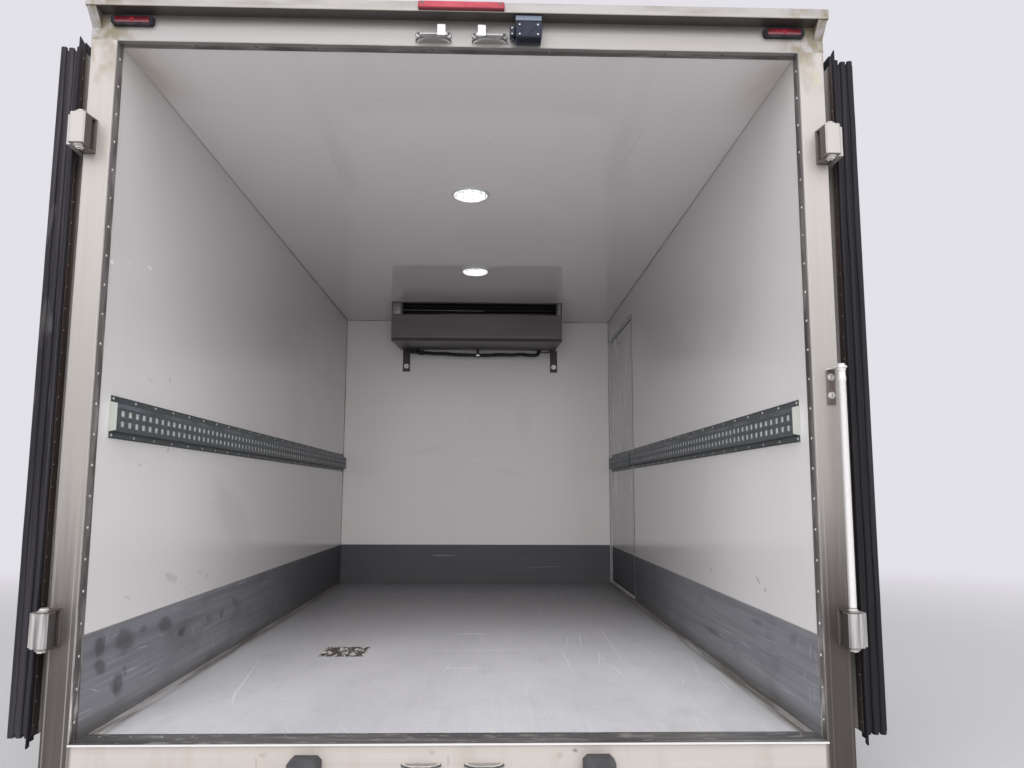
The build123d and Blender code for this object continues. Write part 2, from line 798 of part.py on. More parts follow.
def evaporator():
    half = evaporator_width / 2
    housing = along_x([(inside_length, inside_height), (evaporator_face, inside_height),
                       (evaporator_face, evaporator_bottom), (inside_length, evaporator_heel)],
                      -half, half)
    nose = housing.edges().filter_by(Axis.X).group_by(Axis.Z)[0]
    housing = fillet(nose, evaporator_round)
    outlet_top = inside_height - outlet_margin
    outlet_bottom = outlet_top - outlet_height
    outlet_start = outlet_x - outlet_width / 2
    outlet_end = outlet_x + outlet_width / 2
    housing -= block(outlet_start, outlet_end, evaporator_face, evaporator_face + outlet_depth,
                     outlet_bottom, outlet_top)
    save("evaporator_housing", housing)

    louvre_end = evaporator_face + outlet_depth / 2
    louvres = (block(outlet_start, outlet_start + louvre_post, evaporator_face, louvre_end,
                     outlet_bottom, outlet_top)
               + block(outlet_end - louvre_post, outlet_end, evaporator_face, louvre_end,
                       outlet_bottom, outlet_top))
    for row in range(louvre_count):
        z = outlet_bottom + (row + 1) * outlet_height / (louvre_count + 1)
        louvres += block(outlet_start, outlet_end, evaporator_face, louvre_end,
                         z - louvre_thickness / 2, z + louvre_thickness / 2)
    save("evaporator_louvres", louvres)

    legs = [block(x - leg_width / 2, x + leg_width / 2, inside_length - leg_thickness, inside_length,
                  evaporator_heel - leg_length, underside(inside_length - leg_thickness))
            for x in leg_places]
    hose_y = inside_length - hose_from_wall
    clip_half = hose_radius + hose_seat_gap + clip_wall
    clip = block(-clip_width / 2, clip_width / 2, hose_y - clip_half, hose_y + clip_half,
                 evaporator_bottom - hose_drop - clip_half, underside(hose_y - clip_half))
    clip_bore = bore_radius(hose_radius + hose_seat_gap, hose_facets)
    clip -= crosswise(hose_y, evaporator_bottom - hose_drop, clip_bore, -clip_width, clip_width, hose_facets)
    save("evaporator_brackets", *legs, clip)

    top = underside(hose_y - hose_radius) - hose_seat_gap
    # The hose leaves the pan at the left, sags to its clip in the middle and rises again at the right.
    # Each row is the place across the body, the height over the clip and the radius of the bend
    route = ((hose_left_end, 28, 22), (-438, 19, 300), (-hose_clip_half, 0, 400), (hose_clip_half, 0, 400),
             (386, 17, 400), (hose_right_end, 3, 26))
    low = evaporator_bottom - hose_drop
    points = [(x, hose_y, low + rise) for x, rise, bend in route]
    bends = [bend for x, rise, bend in route]
    path = FilletPolyline((hose_left_end, hose_y, top), *points, (hose_right_end, hose_y, top), radius=bends)
    section = Plane(origin=path @ 0, z_dir=path % 0) * RegularPolygon(hose_radius, hose_facets)
    save("evaporator_hose", sweep(section, path=path))


# Condenser unit on the front wall, with two fans behind barred guards
def condenser():
    half = unit_width / 2
    housing = along_x([(front_face, unit_bottom), (unit_face - unit_round / 2, unit_bottom),
                       (unit_face, unit_bottom + unit_round / 2), (unit_face, unit_face_top),
                       (front_face + unit_crown_depth, unit_top), (front_face, unit_top)], -half, half)
    for side in (-1, 1):
        x = side * fan_x
        well_back = unit_face - fan_well_depth
        housing -= block(x - fan_well_half, x + fan_well_half, well_back, unit_face,
                         fan_z - fan_well_half, fan_z + fan_well_half)
        housing += lengthwise(x, fan_z, motor_radius, well_back, well_back + motor_length, fan_hub_facets)
        housing += lengthwise(x, fan_z, shaft_radius, well_back, fan_start + fan_length + fan_end_gap,
                              shaft_facets)
    save("condenser_housing", housing)

    inner = fan_well_half - grille_frame
    back = unit_face - grille_thickness
    guard = (block(fan_x - fan_well_half, fan_x + fan_well_half, back, unit_face,
                   fan_z - fan_well_half, fan_z + fan_well_half)
             - block(fan_x - inner, fan_x + inner, back, unit_face, fan_z - inner, fan_z + inner))
    pitch = 2 * inner / (grille_bars + 1)
    for row in range(grille_bars):
        z = fan_z - inner + (row + 1) * pitch
        guard += block(fan_x - inner, fan_x + inner, back, unit_face, z - grille_bar / 2, z + grille_bar / 2)
    guard += block(fan_x - grille_bar / 2, fan_x + grille_bar / 2, back, unit_face,
                   fan_z - inner, fan_z + inner)
    save("fan_guards", guard, mirrored(guard))


fan_start = unit_face - fan_well_depth + motor_length + fan_end_gap


def fan_rotor(x):
    hub = lengthwise(x, fan_z, fan_hub_radius, fan_start, fan_start + fan_length, fan_hub_facets)
    blade = Box(fan_tip_radius - fan_blade_root, fan_blade_chord, fan_blade_thickness,
                align=(Align.MIN, Align.CENTER, Align.CENTER))
    blade = Pos(fan_blade_root, 0, 0) * Rot(fan_blade_pitch, 0, 0) * blade
    blades = [Pos(x, fan_start + fan_length / 2, fan_z) * Rot(0, place * 360 / fan_blades, 0) * blade
              for place in range(fan_blades)]
    bore = bore_radius(shaft_radius + shaft_clearance, shaft_facets)
    return hub + blades - lengthwise(x, fan_z, bore, fan_start, fan_start + fan_length, shaft_facets)


def fans():
    save("fan_rotor_right", fan_rotor(fan_x))
    save("fan_rotor_left", fan_rotor(-fan_x))


# Steel frame under the floor: cross members on two long runners
def underframe():
    top = -floor_thickness
    foot = top - cross_member_height
    channel = [(0, top), (cross_member_flange, top), (cross_member_flange, top - section_wall),
               (section_wall, top - section_wall), (section_wall, foot + section_wall),
               (cross_member_flange, foot + section_wall), (cross_member_flange, foot), (0, foot)]
    first = frame_depth + cross_member_margin
    pitch = (front_face - cross_member_margin - cross_member_flange - first) / (cross_member_count - 1)
    members = [along_x([(first + place * pitch + y, z) for y, z in channel],
                       -cross_member_half, cross_member_half)
               for place in range(cross_member_count)]
    save("cross_members", *members)

    high = foot
    outer = runner_x + runner_width / 2
    inner = runner_x - runner_width / 2
    web = outer - section_wall
    runner = along_y([(outer, high), (outer, ground), (inner, ground), (inner, ground + section_wall),
                      (web, ground + section_wall), (web, high - section_wall),
                      (inner, high - section_wall), (inner, high)], frame_depth, front_face)
    for y in (frame_depth + fixing_inset, front_face - fixing_inset):
        runner -= upright(runner_x - section_wall, y, fixing_radius, ground, ground + section_wall)
    save("runners", runner, mirrored(runner))


os.makedirs("parts", exist_ok=True)
panels()
rear_frame()
edge_rails()
kick_plates()
load_rails()
rear_doors()
hinge_brackets()
grab_bar()
lock_keepers()
rear_fittings()
side_door()
ceiling_lamps()
evaporator()
condenser()
fans()
underframe()
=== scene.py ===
"""Looks of the insulated box body of a refrigerated truck, seen from behind through its open doors."""
import math

import bmesh
import bpy
from mathutils import Matrix, Vector


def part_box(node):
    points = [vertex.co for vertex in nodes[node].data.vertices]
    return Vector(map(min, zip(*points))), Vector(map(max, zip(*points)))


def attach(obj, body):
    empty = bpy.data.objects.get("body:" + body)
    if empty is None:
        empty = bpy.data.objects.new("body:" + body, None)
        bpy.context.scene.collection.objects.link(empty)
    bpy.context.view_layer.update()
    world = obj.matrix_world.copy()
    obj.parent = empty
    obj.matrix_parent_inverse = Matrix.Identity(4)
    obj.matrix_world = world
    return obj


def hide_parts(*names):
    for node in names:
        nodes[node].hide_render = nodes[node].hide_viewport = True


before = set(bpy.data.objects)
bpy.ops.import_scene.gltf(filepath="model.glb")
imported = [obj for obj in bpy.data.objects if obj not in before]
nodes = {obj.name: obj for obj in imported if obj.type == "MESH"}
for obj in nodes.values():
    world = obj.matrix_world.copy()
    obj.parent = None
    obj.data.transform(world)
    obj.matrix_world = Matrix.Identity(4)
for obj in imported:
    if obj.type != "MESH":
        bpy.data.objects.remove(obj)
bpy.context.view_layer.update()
scene = bpy.context.scene


# Camera. It stands behind the body, a little right of its middle, and looks in between the doors.
# Its place, turn and lens were solved from the corners of the load space.
camera_place = Vector((0.1074, -5.3426, 1.1226))
camera_yaw = math.radians(-1.578)
camera_pitch = math.radians(7.446)
camera_roll = math.radians(0.218)

camera = bpy.data.objects.new("camera", bpy.data.cameras.new("camera"))
camera.data.sensor_width = 36
camera.data.lens = 29.11
camera.data.clip_start = 0.05
camera.data.clip_end = 200
level = Matrix.Rotation(math.pi / 2 + camera_pitch, 4, "X") @ Matrix.Rotation(camera_roll, 4, "Z")
camera.matrix_world = Matrix.Translation(camera_place) @ Matrix.Rotation(camera_yaw, 4, "Z") @ level
scene.collection.objects.link(camera)
scene.camera = camera


# Light. A pale overcast sky lights the body from all round, and soft panels behind the camera and at
# the sides fill the load space and shape the outside. Gloss shows the sky and not the panels.
sky_color = (0.775, 0.755, 0.81)
sky_light = (0.80, 0.785, 0.80)
sky_strength = 0.50
# Each row is a name, its place, the point that it faces, its size and its power
light_panels = (
    ("high_behind", (-0.15, -7.6, 5.6), (0.1, -1.2, 0.5), 8.0, 860),
    ("low_behind", (0.0, -11.0, 1.8), (0.0, 0.0, 1.4), 4.0, 230),
    ("side_left", (-8.5, 1.0, 5.0), (0.0, 0.0, 1.2), 4.0, 200),
    ("side_right", (8.5, 2.0, 5.0), (0.0, 0.0, 1.2), 4.0, 200),
    ("high_ahead", (0.0, 9.5, 6.0), (0.0, 1.0, 0.8), 6.0, 420),
)


def feed(socket, value):
    """Links a node or an output to a socket, or writes a number, a vector or a colour in it."""
    if isinstance(value, bpy.types.Node):
        value = value.outputs[0]
    if isinstance(value, bpy.types.NodeSocket):
        socket.id_data.links.new(value, socket)
    else:
        socket.default_value = (*value, 1) if socket.type == "RGBA" else value


def build(tree, kind, *inputs, **values):
    """A node of a tree. Each value feeds the socket of its name, or else is a setting of the node. The
    inputs feed the sockets in turn."""
    node = tree.nodes.new(kind)
    for label, value in values.items():
        socket = node.inputs.get(label.replace("_", " "))
        if socket:
            feed(socket, value)
        else:
            setattr(node, label, value)
    for socket, value in zip(node.inputs, inputs):
        feed(socket, value)
    return node


scene.view_settings.view_transform = "Standard"
scene.world = bpy.data.worlds.new("overcast")
scene.world.use_nodes = True
sky = scene.world.node_tree
soft = sky.nodes["Background"]
feed(soft.inputs["Color"], sky_light)
feed(soft.inputs["Strength"], sky_strength)
seen = build(sky, "ShaderNodeLightPath").outputs
sight = build(sky, "ShaderNodeMath", seen["Is Camera Ray"], seen["Is Glossy Ray"], operation="MAXIMUM")
pale = build(sky, "ShaderNodeBackground", Color=sky_color)
feed(sky.nodes["World Output"].inputs["Surface"], build(sky, "ShaderNodeMixShader", sight, soft, pale))

for name, place, target, size, power in light_panels:
    lamp = bpy.data.lights.new(name, "AREA")
    lamp.size = size
    lamp.energy = power
    panel = bpy.data.objects.new(name, lamp)
    panel.location = place
    panel.visible_glossy = False
    panel.rotation_euler = (Vector(target) - Vector(place)).to_track_quat("-Z", "Y").to_euler()
    scene.collection.objects.link(panel)


# Floor of the studio: a plain pale sheet that keeps the body's shadow and fades into the sky far off.
# The ways in which every material is made, and the shared effects, come with it.
floor_color = (0.48, 0.48, 0.49)
floor_reach = 90
fade_start = 3.4
fade_end = 10.0


class Finish:
    """A material in the making. Each coat lays one more colour over the last through a mask."""

    def __init__(self, name, color, roughness, metallic=0.0):
        self.material = bpy.data.materials.new(name)
        self.material.use_nodes = True
        self.tree = self.material.node_tree
        self.shader = self.tree.nodes["Principled BSDF"]
        self.color = color
        self.place = build(self.tree, "ShaderNodeTexCoord").outputs["Object"]
        self.axes = build(self.tree, "ShaderNodeSeparateXYZ", self.place).outputs
        for label, value in (("Base Color", color), ("Roughness", roughness), ("Metallic", metallic)):
            feed(self.shader.inputs[label], value)

    def math(self, operation, *values):
        """A sum, a product or another operation on masks and numbers."""
        return build(self.tree, "ShaderNodeMath", *values, operation=operation).outputs[0]

    def effect(self, group, **values):
        """One of the shared effects, with its own values."""
        return build(self.tree, "ShaderNodeGroup", node_tree=group, **values).outputs[0]

    def drift(self, scale, low=0.4, high=0.6, detail=3.0, turn=0.0):
        """Noise between two levels, with the scale in waves for each metre: a stain, or a streak."""
        return self.effect(drift_group, Place=self.place, Scale=scale, Turn=math.radians(turn),
                           Detail=detail, Low=low, High=high)

    def span(self, value, low, high, soft=None):
        """A ramp of a value from 0 at low to 1 at high. With soft, 1 between them, with soft edges."""
        if soft:
            return self.math("MULTIPLY", self.span(value, low - soft, low),
                             self.span(value, high + soft, high))
        return self.effect(ramp_group, Value=value, From=low, To=high)

    def coat(self, color, share=1.0, mask=None, **spans):
        """Lays a colour over the last one, as strong as share says, through the mask and the spans. A
        span is along x, y, z or off, which is how far off the body's middle a point lies."""
        for axis, levels in spans.items():
            value = self.math("ABSOLUTE", self.axes[0]) if axis == "off" else self.axes["xyz".index(axis)]
            span = self.span(value, *levels)
            mask = self.math("MULTIPLY", mask, span) if mask else span
        if share != 1:
            mask = self.math("MULTIPLY", mask, share)
        node = build(self.tree, "ShaderNodeMix", mask, data_type="RGBA")
        feed(node.inputs[6], self.color)
        feed(node.inputs[7], color)
        self.color = node.outputs[2]
        feed(self.shader.inputs["Base Color"], self.color)
        return self

    def stain(self, color, share, scale, low=0.4, high=0.6, detail=3.0, turn=0.0, mask=None, **spans):
        """A coat through noise, and through the mask and the spans."""
        noise = self.drift(scale, low, high, detail, turn)
        return self.coat(color, share, self.math("MULTIPLY", mask, noise) if mask else noise, **spans)

    def shade(self, label, mask, low, high):
        """Roughness or metal that goes from low to high with the mask."""
        feed(self.shader.inputs[label], self.math("MULTIPLY_ADD", mask, high - low, low))

    def relief(self, mask, height):
        """Bump from a mask, in metres where the mask is 1, over any bump before it."""
        bump = build(self.tree, "ShaderNodeBump", Distance=height, Height=mask)
        normal = self.shader.inputs["Normal"]
        if normal.is_linked:
            feed(bump.inputs["Normal"], normal.links[0].from_socket)
        feed(normal, bump)

    def spots(self, facing, marks, level=0.0, reach=9.0, ragged=0.7):
        """Marks on a flat face, as rows for each colour. A row is a place on the face and half a size,
        each as two numbers, a turn in degrees and how strong the mark is."""
        axis = [0, 0, 0]
        axis[facing] = 1
        for color, rows in marks.items():
            for one, two, length, width, turn, share in rows:
                centre, size = [one, two], [length, width]
                centre.insert(facing, level)
                size.insert(facing, reach)
                self.coat(color, share, self.effect(
                    spot_group, Place=self.place, Centre=centre, Size=size, Axis=axis,
                    Turn=math.radians(turn), Ragged=ragged))


def effect_group(name, **inputs):
    """An empty shader node group with named inputs, each a number or a vector, and one mask out."""
    group = bpy.data.node_groups.new(name, "ShaderNodeTree")
    for label, value in inputs.items():
        kind = "NodeSocketFloat" if isinstance(value, float) else "NodeSocketVector"
        group.interface.new_socket(name=label, in_out="INPUT", socket_type=kind).default_value = value
    group.interface.new_socket(name="Mask", in_out="OUTPUT", socket_type="NodeSocketFloat")
    return group, group.nodes.new("NodeGroupInput").outputs, group.nodes.new("NodeGroupOutput").inputs["Mask"]


# Drift is noise stretched along any axis: wide and low it is a stain, long and thin it is a streak
drift_group, given, made = effect_group("drift", Place=(0, 0, 0), Scale=(1, 1, 1), Turn=0.0, Detail=3.0,
                                        Low=0.4, High=0.6)
turned = build(drift_group, "ShaderNodeVectorRotate", rotation_type="Z_AXIS", Vector=given["Place"],
               Angle=given["Turn"])
scaled = build(drift_group, "ShaderNodeVectorMath", turned, given["Scale"], operation="MULTIPLY")
cloud = build(drift_group, "ShaderNodeTexNoise", Vector=scaled, Scale=1.0, Detail=given["Detail"])
feed(made,
     build(drift_group, "ShaderNodeMapRange", Value=cloud, From_Min=given["Low"], From_Max=given["High"]))

# Ramp is 0 at one number and 1 at another, for dirt that gathers towards an edge
ramp_group, given, made = effect_group("ramp", Value=0.0, From=0.0, To=1.0)
feed(made, build(ramp_group, "ShaderNodeMapRange", interpolation_type="SMOOTHSTEP", Value=given["Value"],
                 From_Min=given["From"], From_Max=given["To"]))

# Spot is one oval mark with a ragged edge, whose grain its own place seeds. A long thin one is a scratch.
spot_group, given, made = effect_group("spot", Place=(0, 0, 0), Centre=(0, 0, 0), Size=(1, 1, 1),
                                       Axis=(0, 0, 1), Turn=0.0, Ragged=0.7)
moved = build(spot_group, "ShaderNodeVectorMath", given["Place"], given["Centre"], operation="SUBTRACT")
turned = build(spot_group, "ShaderNodeVectorRotate", Vector=moved, Axis=given["Axis"], Angle=given["Turn"])
sized = build(spot_group, "ShaderNodeVectorMath", turned, given["Size"], operation="DIVIDE")
seed = build(spot_group, "ShaderNodeVectorMath", given["Centre"], (19, 23, 29), operation="MULTIPLY")
grained = build(spot_group, "ShaderNodeVectorMath", sized, (2.2, 2.2, 2.2), seed, operation="MULTIPLY_ADD")
cloud = build(spot_group, "ShaderNodeTexNoise", Vector=grained, Scale=1.0, Detail=4.0)
middle = build(spot_group, "ShaderNodeVectorMath", sized, operation="LENGTH").outputs["Value"]
edge = build(spot_group, "ShaderNodeMath", cloud, given["Ragged"], middle, operation="MULTIPLY_ADD")
feed(made, build(spot_group, "ShaderNodeMapRange", interpolation_type="SMOOTHSTEP", Value=edge,
                 From_Min=1.25, From_Max=0.75))

ground_mesh = bpy.data.meshes.new("ground")
ground_mesh.from_pydata([(x * floor_reach, y * floor_reach, 0) for x,
                         y in ((-1, -1), (1, -1), (1, 1), (-1, 1))], [], [(0, 1, 2, 3)])
ground = bpy.data.objects.new("ground", ground_mesh)
scene.collection.objects.link(ground)
paint = Finish("ground_paint", floor_color, 0.9)
far_off = build(paint.tree, "ShaderNodeVectorMath", paint.place, operation="LENGTH").outputs["Value"]
seen = build(paint.tree, "ShaderNodeLightPath").outputs
sight = paint.math("MAXIMUM", seen["Is Camera Ray"], seen["Is Glossy Ray"])
fade = paint.math("MULTIPLY", paint.span(far_off, fade_start, fade_end), sight)
glow = build(paint.tree, "ShaderNodeEmission", Color=sky_color)
feed(paint.tree.nodes["Material Output"].inputs["Surface"],
     build(paint.tree, "ShaderNodeMixShader", fade, paint.shader, glow))
ground_mesh.materials.append(paint.material)


# Panels of the box. Each is a foam core between two glossy white polyester skins. The skins ripple a
# little, and carry faint stains, rubbed streaks, scuffs from pallets and a few pale spots. Those high
# on the left wall near the doors are painted glints.
panel_white = (0.80, 0.770, 0.766)
panel_stained = (0.70, 0.69, 0.685)
panel_shaded = (0.64, 0.625, 0.62)
panel_painted_light = (0.93, 0.915, 0.92)
panel_ripple = 0.0006
scuff_brown = (0.46, 0.37, 0.33)
scuff_pink = (0.62, 0.50, 0.47)
scuff_grey = (0.42, 0.41, 0.41)
pale_spot_white = (0.97, 0.97, 0.97)


def panel_finish(name, roughness, streaks, facing=0, marks=None, wall=False):
    """White polyester skin. The streaks follow the way in which it is wiped and rubbed."""
    skin = Finish(name, panel_white, roughness)
    skin.stain(panel_stained, 0.3, (0.9, 0.7, 1.1), 0.45, 0.75)
    rubbed = skin.drift(streaks, 0.55, 0.85, 4.0)
    skin.coat(panel_stained, 0.3, mask=rubbed)
    # Painted shade darkens the walls towards the top, and painted light brightens them low down near the
    # doors
    if wall:
        skin.coat(panel_shaded, 0.8, z=(1.3, 2.9))
        skin.coat(panel_painted_light, 0.9, z=(2.1, 1.0), y=(-0.6, -1.9))
    skin.spots(facing, marks or {})
    skin.shade("Roughness", rubbed, roughness, roughness + 0.14)
    skin.relief(skin.drift((3.2, 2.4, 2.8), 0.2, 0.8, 2.0), panel_ripple)
    return skin


def dress(finish, *names):
    """Gives CAD nodes a material."""
    for name in names:
        nodes[name].data.materials.clear()
        nodes[name].data.materials.append(finish.material)


left_skin = panel_finish("left_wall_skin", 0.17, (9, 1.2, 1.6), 0, {
    scuff_pink: ((-1.78, 0.765, 0.11, 0.026, 12, 0.4),),
    scuff_brown: ((-1.6, 0.7, 0.16, 0.003, 24, 0.25), (-1.276, 0.61, 0.06, 0.01, 30, 0.35),
        (-0.821, 0.76, 0.06, 0.008, 20, 0.25)),
    scuff_grey: ((-1.435, 0.755, 0.06, 0.005, 14, 0.4), (-1.337, 0.732, 0.05, 0.008, -20, 0.35),
        (-1.919, 1.576, 0.02, 0.012, 0, 0.45), (-2.118, 1.549, 0.05, 0.008, 15, 0.2),
        (-1.897, 1.29, 0.006, 0.018, 20, 0.9), (-2.162, 1.219, 0.014, 0.01, 0, 0.4),
        (-1.723, 1.251, 0.008, 0.008, 0, 0.4), (-2.2, 0.735, 0.05, 0.005, 20, 0.35)),
    # Pale spots high near the doors: painted glints
    pale_spot_white: ((-2.499, 1.913, 0.022, 0.012, 0, 0.9), (-2.37, 1.943, 0.01, 0.007, 0, 0.6),
        (-2.182, 1.978, 0.032, 0.009, 0, 0.8)),
    panel_stained: ((-1.0, 1.0, 0.5, 0.18, 20, 0.5), (0.3, 1.7, 0.4, 0.5, 0, 0.4))}, True)
right_skin = panel_finish("right_wall_skin", 0.17, (9, 1.2, 1.6), 0, {
    scuff_grey: ((0.326, 1.223, 0.04, 0.012, 0, 0.5), (0.089, 1.219, 0.04, 0.01, 0, 0.4),
        (-1.19, 0.745, 0.03, 0.016, 30, 0.5), (-1.915, 0.771, 0.04, 0.01, -30, 0.6),
        (-0.4, 0.78, 0.18, 0.01, 10, 0.25)),
    scuff_brown: ((-2.0, 0.74, 0.02, 0.01, -20, 0.6),),
    panel_stained: ((-1.6, 1.95, 0.3, 0.25, 0, 0.4),)}, True)
front_skin = panel_finish("front_wall_skin", 0.15, (4, 1.2, 1.0), 1, {
    pale_spot_white: ((-0.122, 1.776, 0.02, 0.02, 0, 0.4), (-0.018, 1.412, 0.03, 0.02, 0, 0.3)),
    panel_stained: ((-0.428, 1.5, 0.3, 0.04, 10, 0.5), (0.3, 1.3, 0.25, 0.03, -12, 0.5),
        (0.42, 1.8, 0.12, 0.3, 0, 0.4))}, True)
ceiling_skin = panel_finish("ceiling_skin", 0.06, (1.4, 1.0, 6), 2, {
    scuff_grey: ((-0.64, -1.57, 0.006, 0.45, -1, 0.22), (0.755, -1.72, 0.006, 0.4, -5, 0.22),
        (0.1, -1.754, 0.006, 0.012, 0, 0.7), (-0.35, -2.15, 0.2, 0.006, 4, 0.15)),
    panel_stained: ((0.2, -0.4, 0.5, 0.9, 0, 0.3),)})
# Brown damp along the sides of the ceiling near the doors
ceiling_skin.stain((0.42, 0.36, 0.28), 0.65, (5, 2, 1), 0.3, 0.7, off=(0.98, 1.2), y=(-1.9, -2.4))
dress(left_skin, "left_wall")
dress(right_skin, "right_wall", "right_wall_head")
dress(front_skin, "front_wall")
dress(ceiling_skin, "roof_panel")

# Faces of the load space and of the rear frame, which the pieces further on are set against
left_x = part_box("left_wall")[1].x
right_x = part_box("right_wall")[0].x
front_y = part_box("front_wall")[0].y
floor_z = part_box("floor_panel")[1].z
ceiling_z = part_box("roof_panel")[0].z
frame_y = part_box("rear_post_left")[0].y


# Sealant beads in the corners of the load space, drawn with a gun where the panels meet. They are
# pale near the doors and darker further in.
bead_radius = 0.0045
bead_light = (0.50, 0.47, 0.44)
bead_dark = (0.15, 0.135, 0.125)


def settle(piece, finish=None):
    """Turns an object and its modifiers into a plain mesh at the origin."""
    graph = bpy.context.evaluated_depsgraph_get()
    mesh = bpy.data.meshes.new_from_object(piece.evaluated_get(graph))
    plain = bpy.data.objects.new(piece.name, mesh)
    bpy.data.objects.remove(piece)
    scene.collection.objects.link(plain)
    if finish:
        mesh.materials.clear()
        mesh.materials.append(finish.material)
    return plain


def tube(name, paths, radius, finish, body, smooth=False):
    """A round bead, bar or hose along each list of points."""
    curve = bpy.data.curves.new(name, "CURVE")
    curve.dimensions = "3D"
    curve.bevel_depth = radius
    curve.bevel_resolution = 3
    curve.use_fill_caps = True
    for points in paths:
        spline = curve.splines.new("NURBS" if smooth else "POLY")
        spline.points.add(len(points) - 1)
        for point, place in zip(spline.points, points):
            point.co = (*place, 1)
        if smooth:
            spline.order_u = 3
            spline.use_endpoint_u = True
            spline.resolution_u = 8
    piece = bpy.data.objects.new(name, curve)
    scene.collection.objects.link(piece)
    piece = settle(piece, finish)
    for face in piece.data.polygons:
        face.use_smooth = True
    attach(piece, body)
    return piece


sealant = Finish("sealant", bead_light, 0.55)
sealant.stain(bead_dark, 0.9, (6, 3, 5), 0.3, 0.6, y=(-2.2, 0.6))
lining_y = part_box("aperture_lining")[1].y
kick_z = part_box("kick_plate_left")[1].z
beads = [[(x, lining_y, ceiling_z), (x, front_y, ceiling_z)] for x in (left_x, right_x)]
beads.append([(left_x, front_y, ceiling_z), (right_x, front_y, ceiling_z)])
beads += [[(x, front_y, kick_z), (x, front_y, ceiling_z)] for x in (left_x, right_x)]
tube("corner_beads", beads, bead_radius, sealant, "box")


# Floor of grey resin with fine lengthwise ribs against slipping. Pallets and trolleys have scratched
# it, dirt has gathered along its sides, and it has one worn patch near the left.
floor_grey = (0.52, 0.515, 0.54)
floor_light = (0.61, 0.605, 0.63)
floor_dark = (0.36, 0.355, 0.365)
floor_dirt = (0.20, 0.19, 0.175)
scratch_light = (0.78, 0.775, 0.78)
rib_pitch = 0.0055
rib_height = 0.0005

resin = Finish("floor_resin", floor_grey, 0.40)
ribs = build(resin.tree, "ShaderNodeTexWave", bands_direction="X", Vector=resin.place, Distortion=0.6,
             Scale=1 / rib_pitch / math.pi / 2)
# Lighter clouds, wheel streaks, and a floor that darkens towards the front, partly its own tone and
# partly painted shade
resin.stain(floor_light, 1, (1.6, 0.8, 1), 0.35, 0.7)
resin.stain(floor_dark, 0.16, (70, 1.0, 1), 0.35, 0.8, 4.0)
resin.coat((0.17, 0.165, 0.175), 0.9, y=(-1.3, 1.1))
# Dull smears, and short marks across
resin.stain(floor_dark, 0.3, (9, 5, 1), 0.52, 0.75, 5.0)
resin.stain(floor_dark, 0.35, (7, 55, 1), 0.62, 0.72, 3.0)
# Each row is the way that fine scratches run, in degrees, their scale along and across, and their rarity
for heading, along, across, rarity in ((8, 1.3, 90, 0.72), (97, 1.6, 80, 0.73), (-24, 1.6, 90, 0.74)):
    resin.stain(scratch_light, 0.3, (across, along, 1), rarity, rarity + 0.03, 1.5, turn=heading)
resin.spots(2, {
    scratch_light: ((-0.917, -1.678, 0.004, 0.5, -7.5, 0.9), (-0.872, -1.98, 0.0035, 0.2, -14, 0.8),
        (-0.074, -1.42, 0.004, 0.17, 7, 0.7), (0.484, -1.215, 0.0045, 0.39, -1, 0.7),
        (0.692, -1.48, 0.004, 0.22, -3, 0.8), (0.757, -0.839, 0.0045, 0.75, 1.3, 0.7),
        (0.61, -0.72, 0.005, 0.34, 5, 0.7), (0.53, -0.8, 0.005, 0.3, 7, 0.6),
        (0.65, -1.2, 0.004, 0.3, 8, 0.7), (1.066, -1.41, 0.0045, 0.28, 6.6, 0.7),
        (0.87, -0.77, 0.004, 0.9, -9, 0.35), (1.096, -1.805, 0.0045, 0.16, 3, 0.8),
        (0.02, -0.53, 0.16, 0.032, 0, 0.45), (0.12, -1.01, 0.55, 0.016, 0, 0.45),
        (0.0, -1.44, 0.14, 0.02, 0, 0.45), (-0.55, -2.2, 0.1, 0.003, 20, 0.5),
        (0.2, -2.0, 0.16, 0.003, -35, 0.35), (-0.25, -1.9, 0.003, 0.2, 18, 0.4),
        (0.93, -1.75, 0.004, 0.1, 15, 0.7), (0.96, -1.62, 0.003, 0.08, 25, 0.6))})
# Dirt along the walls: a grey band, black streaks and a pale line of old sealant, then painted shadow
# at the foot of the wall
resin.stain(floor_dirt, 0.6, (3, 1.5, 1), 0.25, 0.65, off=(1.06, 1.21))
resin.stain((0.105, 0.09, 0.075), 0.9, (50, 2.2, 1), 0.36, 0.54, 4.0, off=(1.13, 1.17))
resin.stain((0.5, 0.43, 0.35), 0.7, (9, 2.5, 1), 0.42, 0.62, off=(1.176, 1.181, 0.003))
resin.coat((0.1, 0.085, 0.07), 0.8, off=(1.196, 1.204))
# Worn patch: the dark base shows, with pale flakes left on it
patch = {"x": (-0.708, -0.5, 0.01), "y": (-1.165, -0.925, 0.015)}
resin.stain((0.055, 0.042, 0.035), 1, (26, 9, 1), 0.3, 0.4, 4.0, **patch)
resin.stain((0.66, 0.64, 0.58), 1, (60, 18, 1), 0.54, 0.57, 4.0, **patch)
resin.relief(ribs.outputs["Fac"], rib_height)
dress(resin, "floor_panel")


# Stainless sheet of the rear frame, folded and brushed. Road dirt has dulled it: streaks low on the
# posts, smudges under the gussets and drips on the sill. Painted reflection darkens the posts towards
# the foot, and painted shade lies under the canopy.
steel_dirt_and_dark_reflection = (0.105, 0.092, 0.085)
steel_brown = (0.36, 0.30, 0.235)
steel_yellow = (0.56, 0.52, 0.36)
steel_painted_shade = (0.085, 0.075, 0.07)
steel_grain = 0.0002


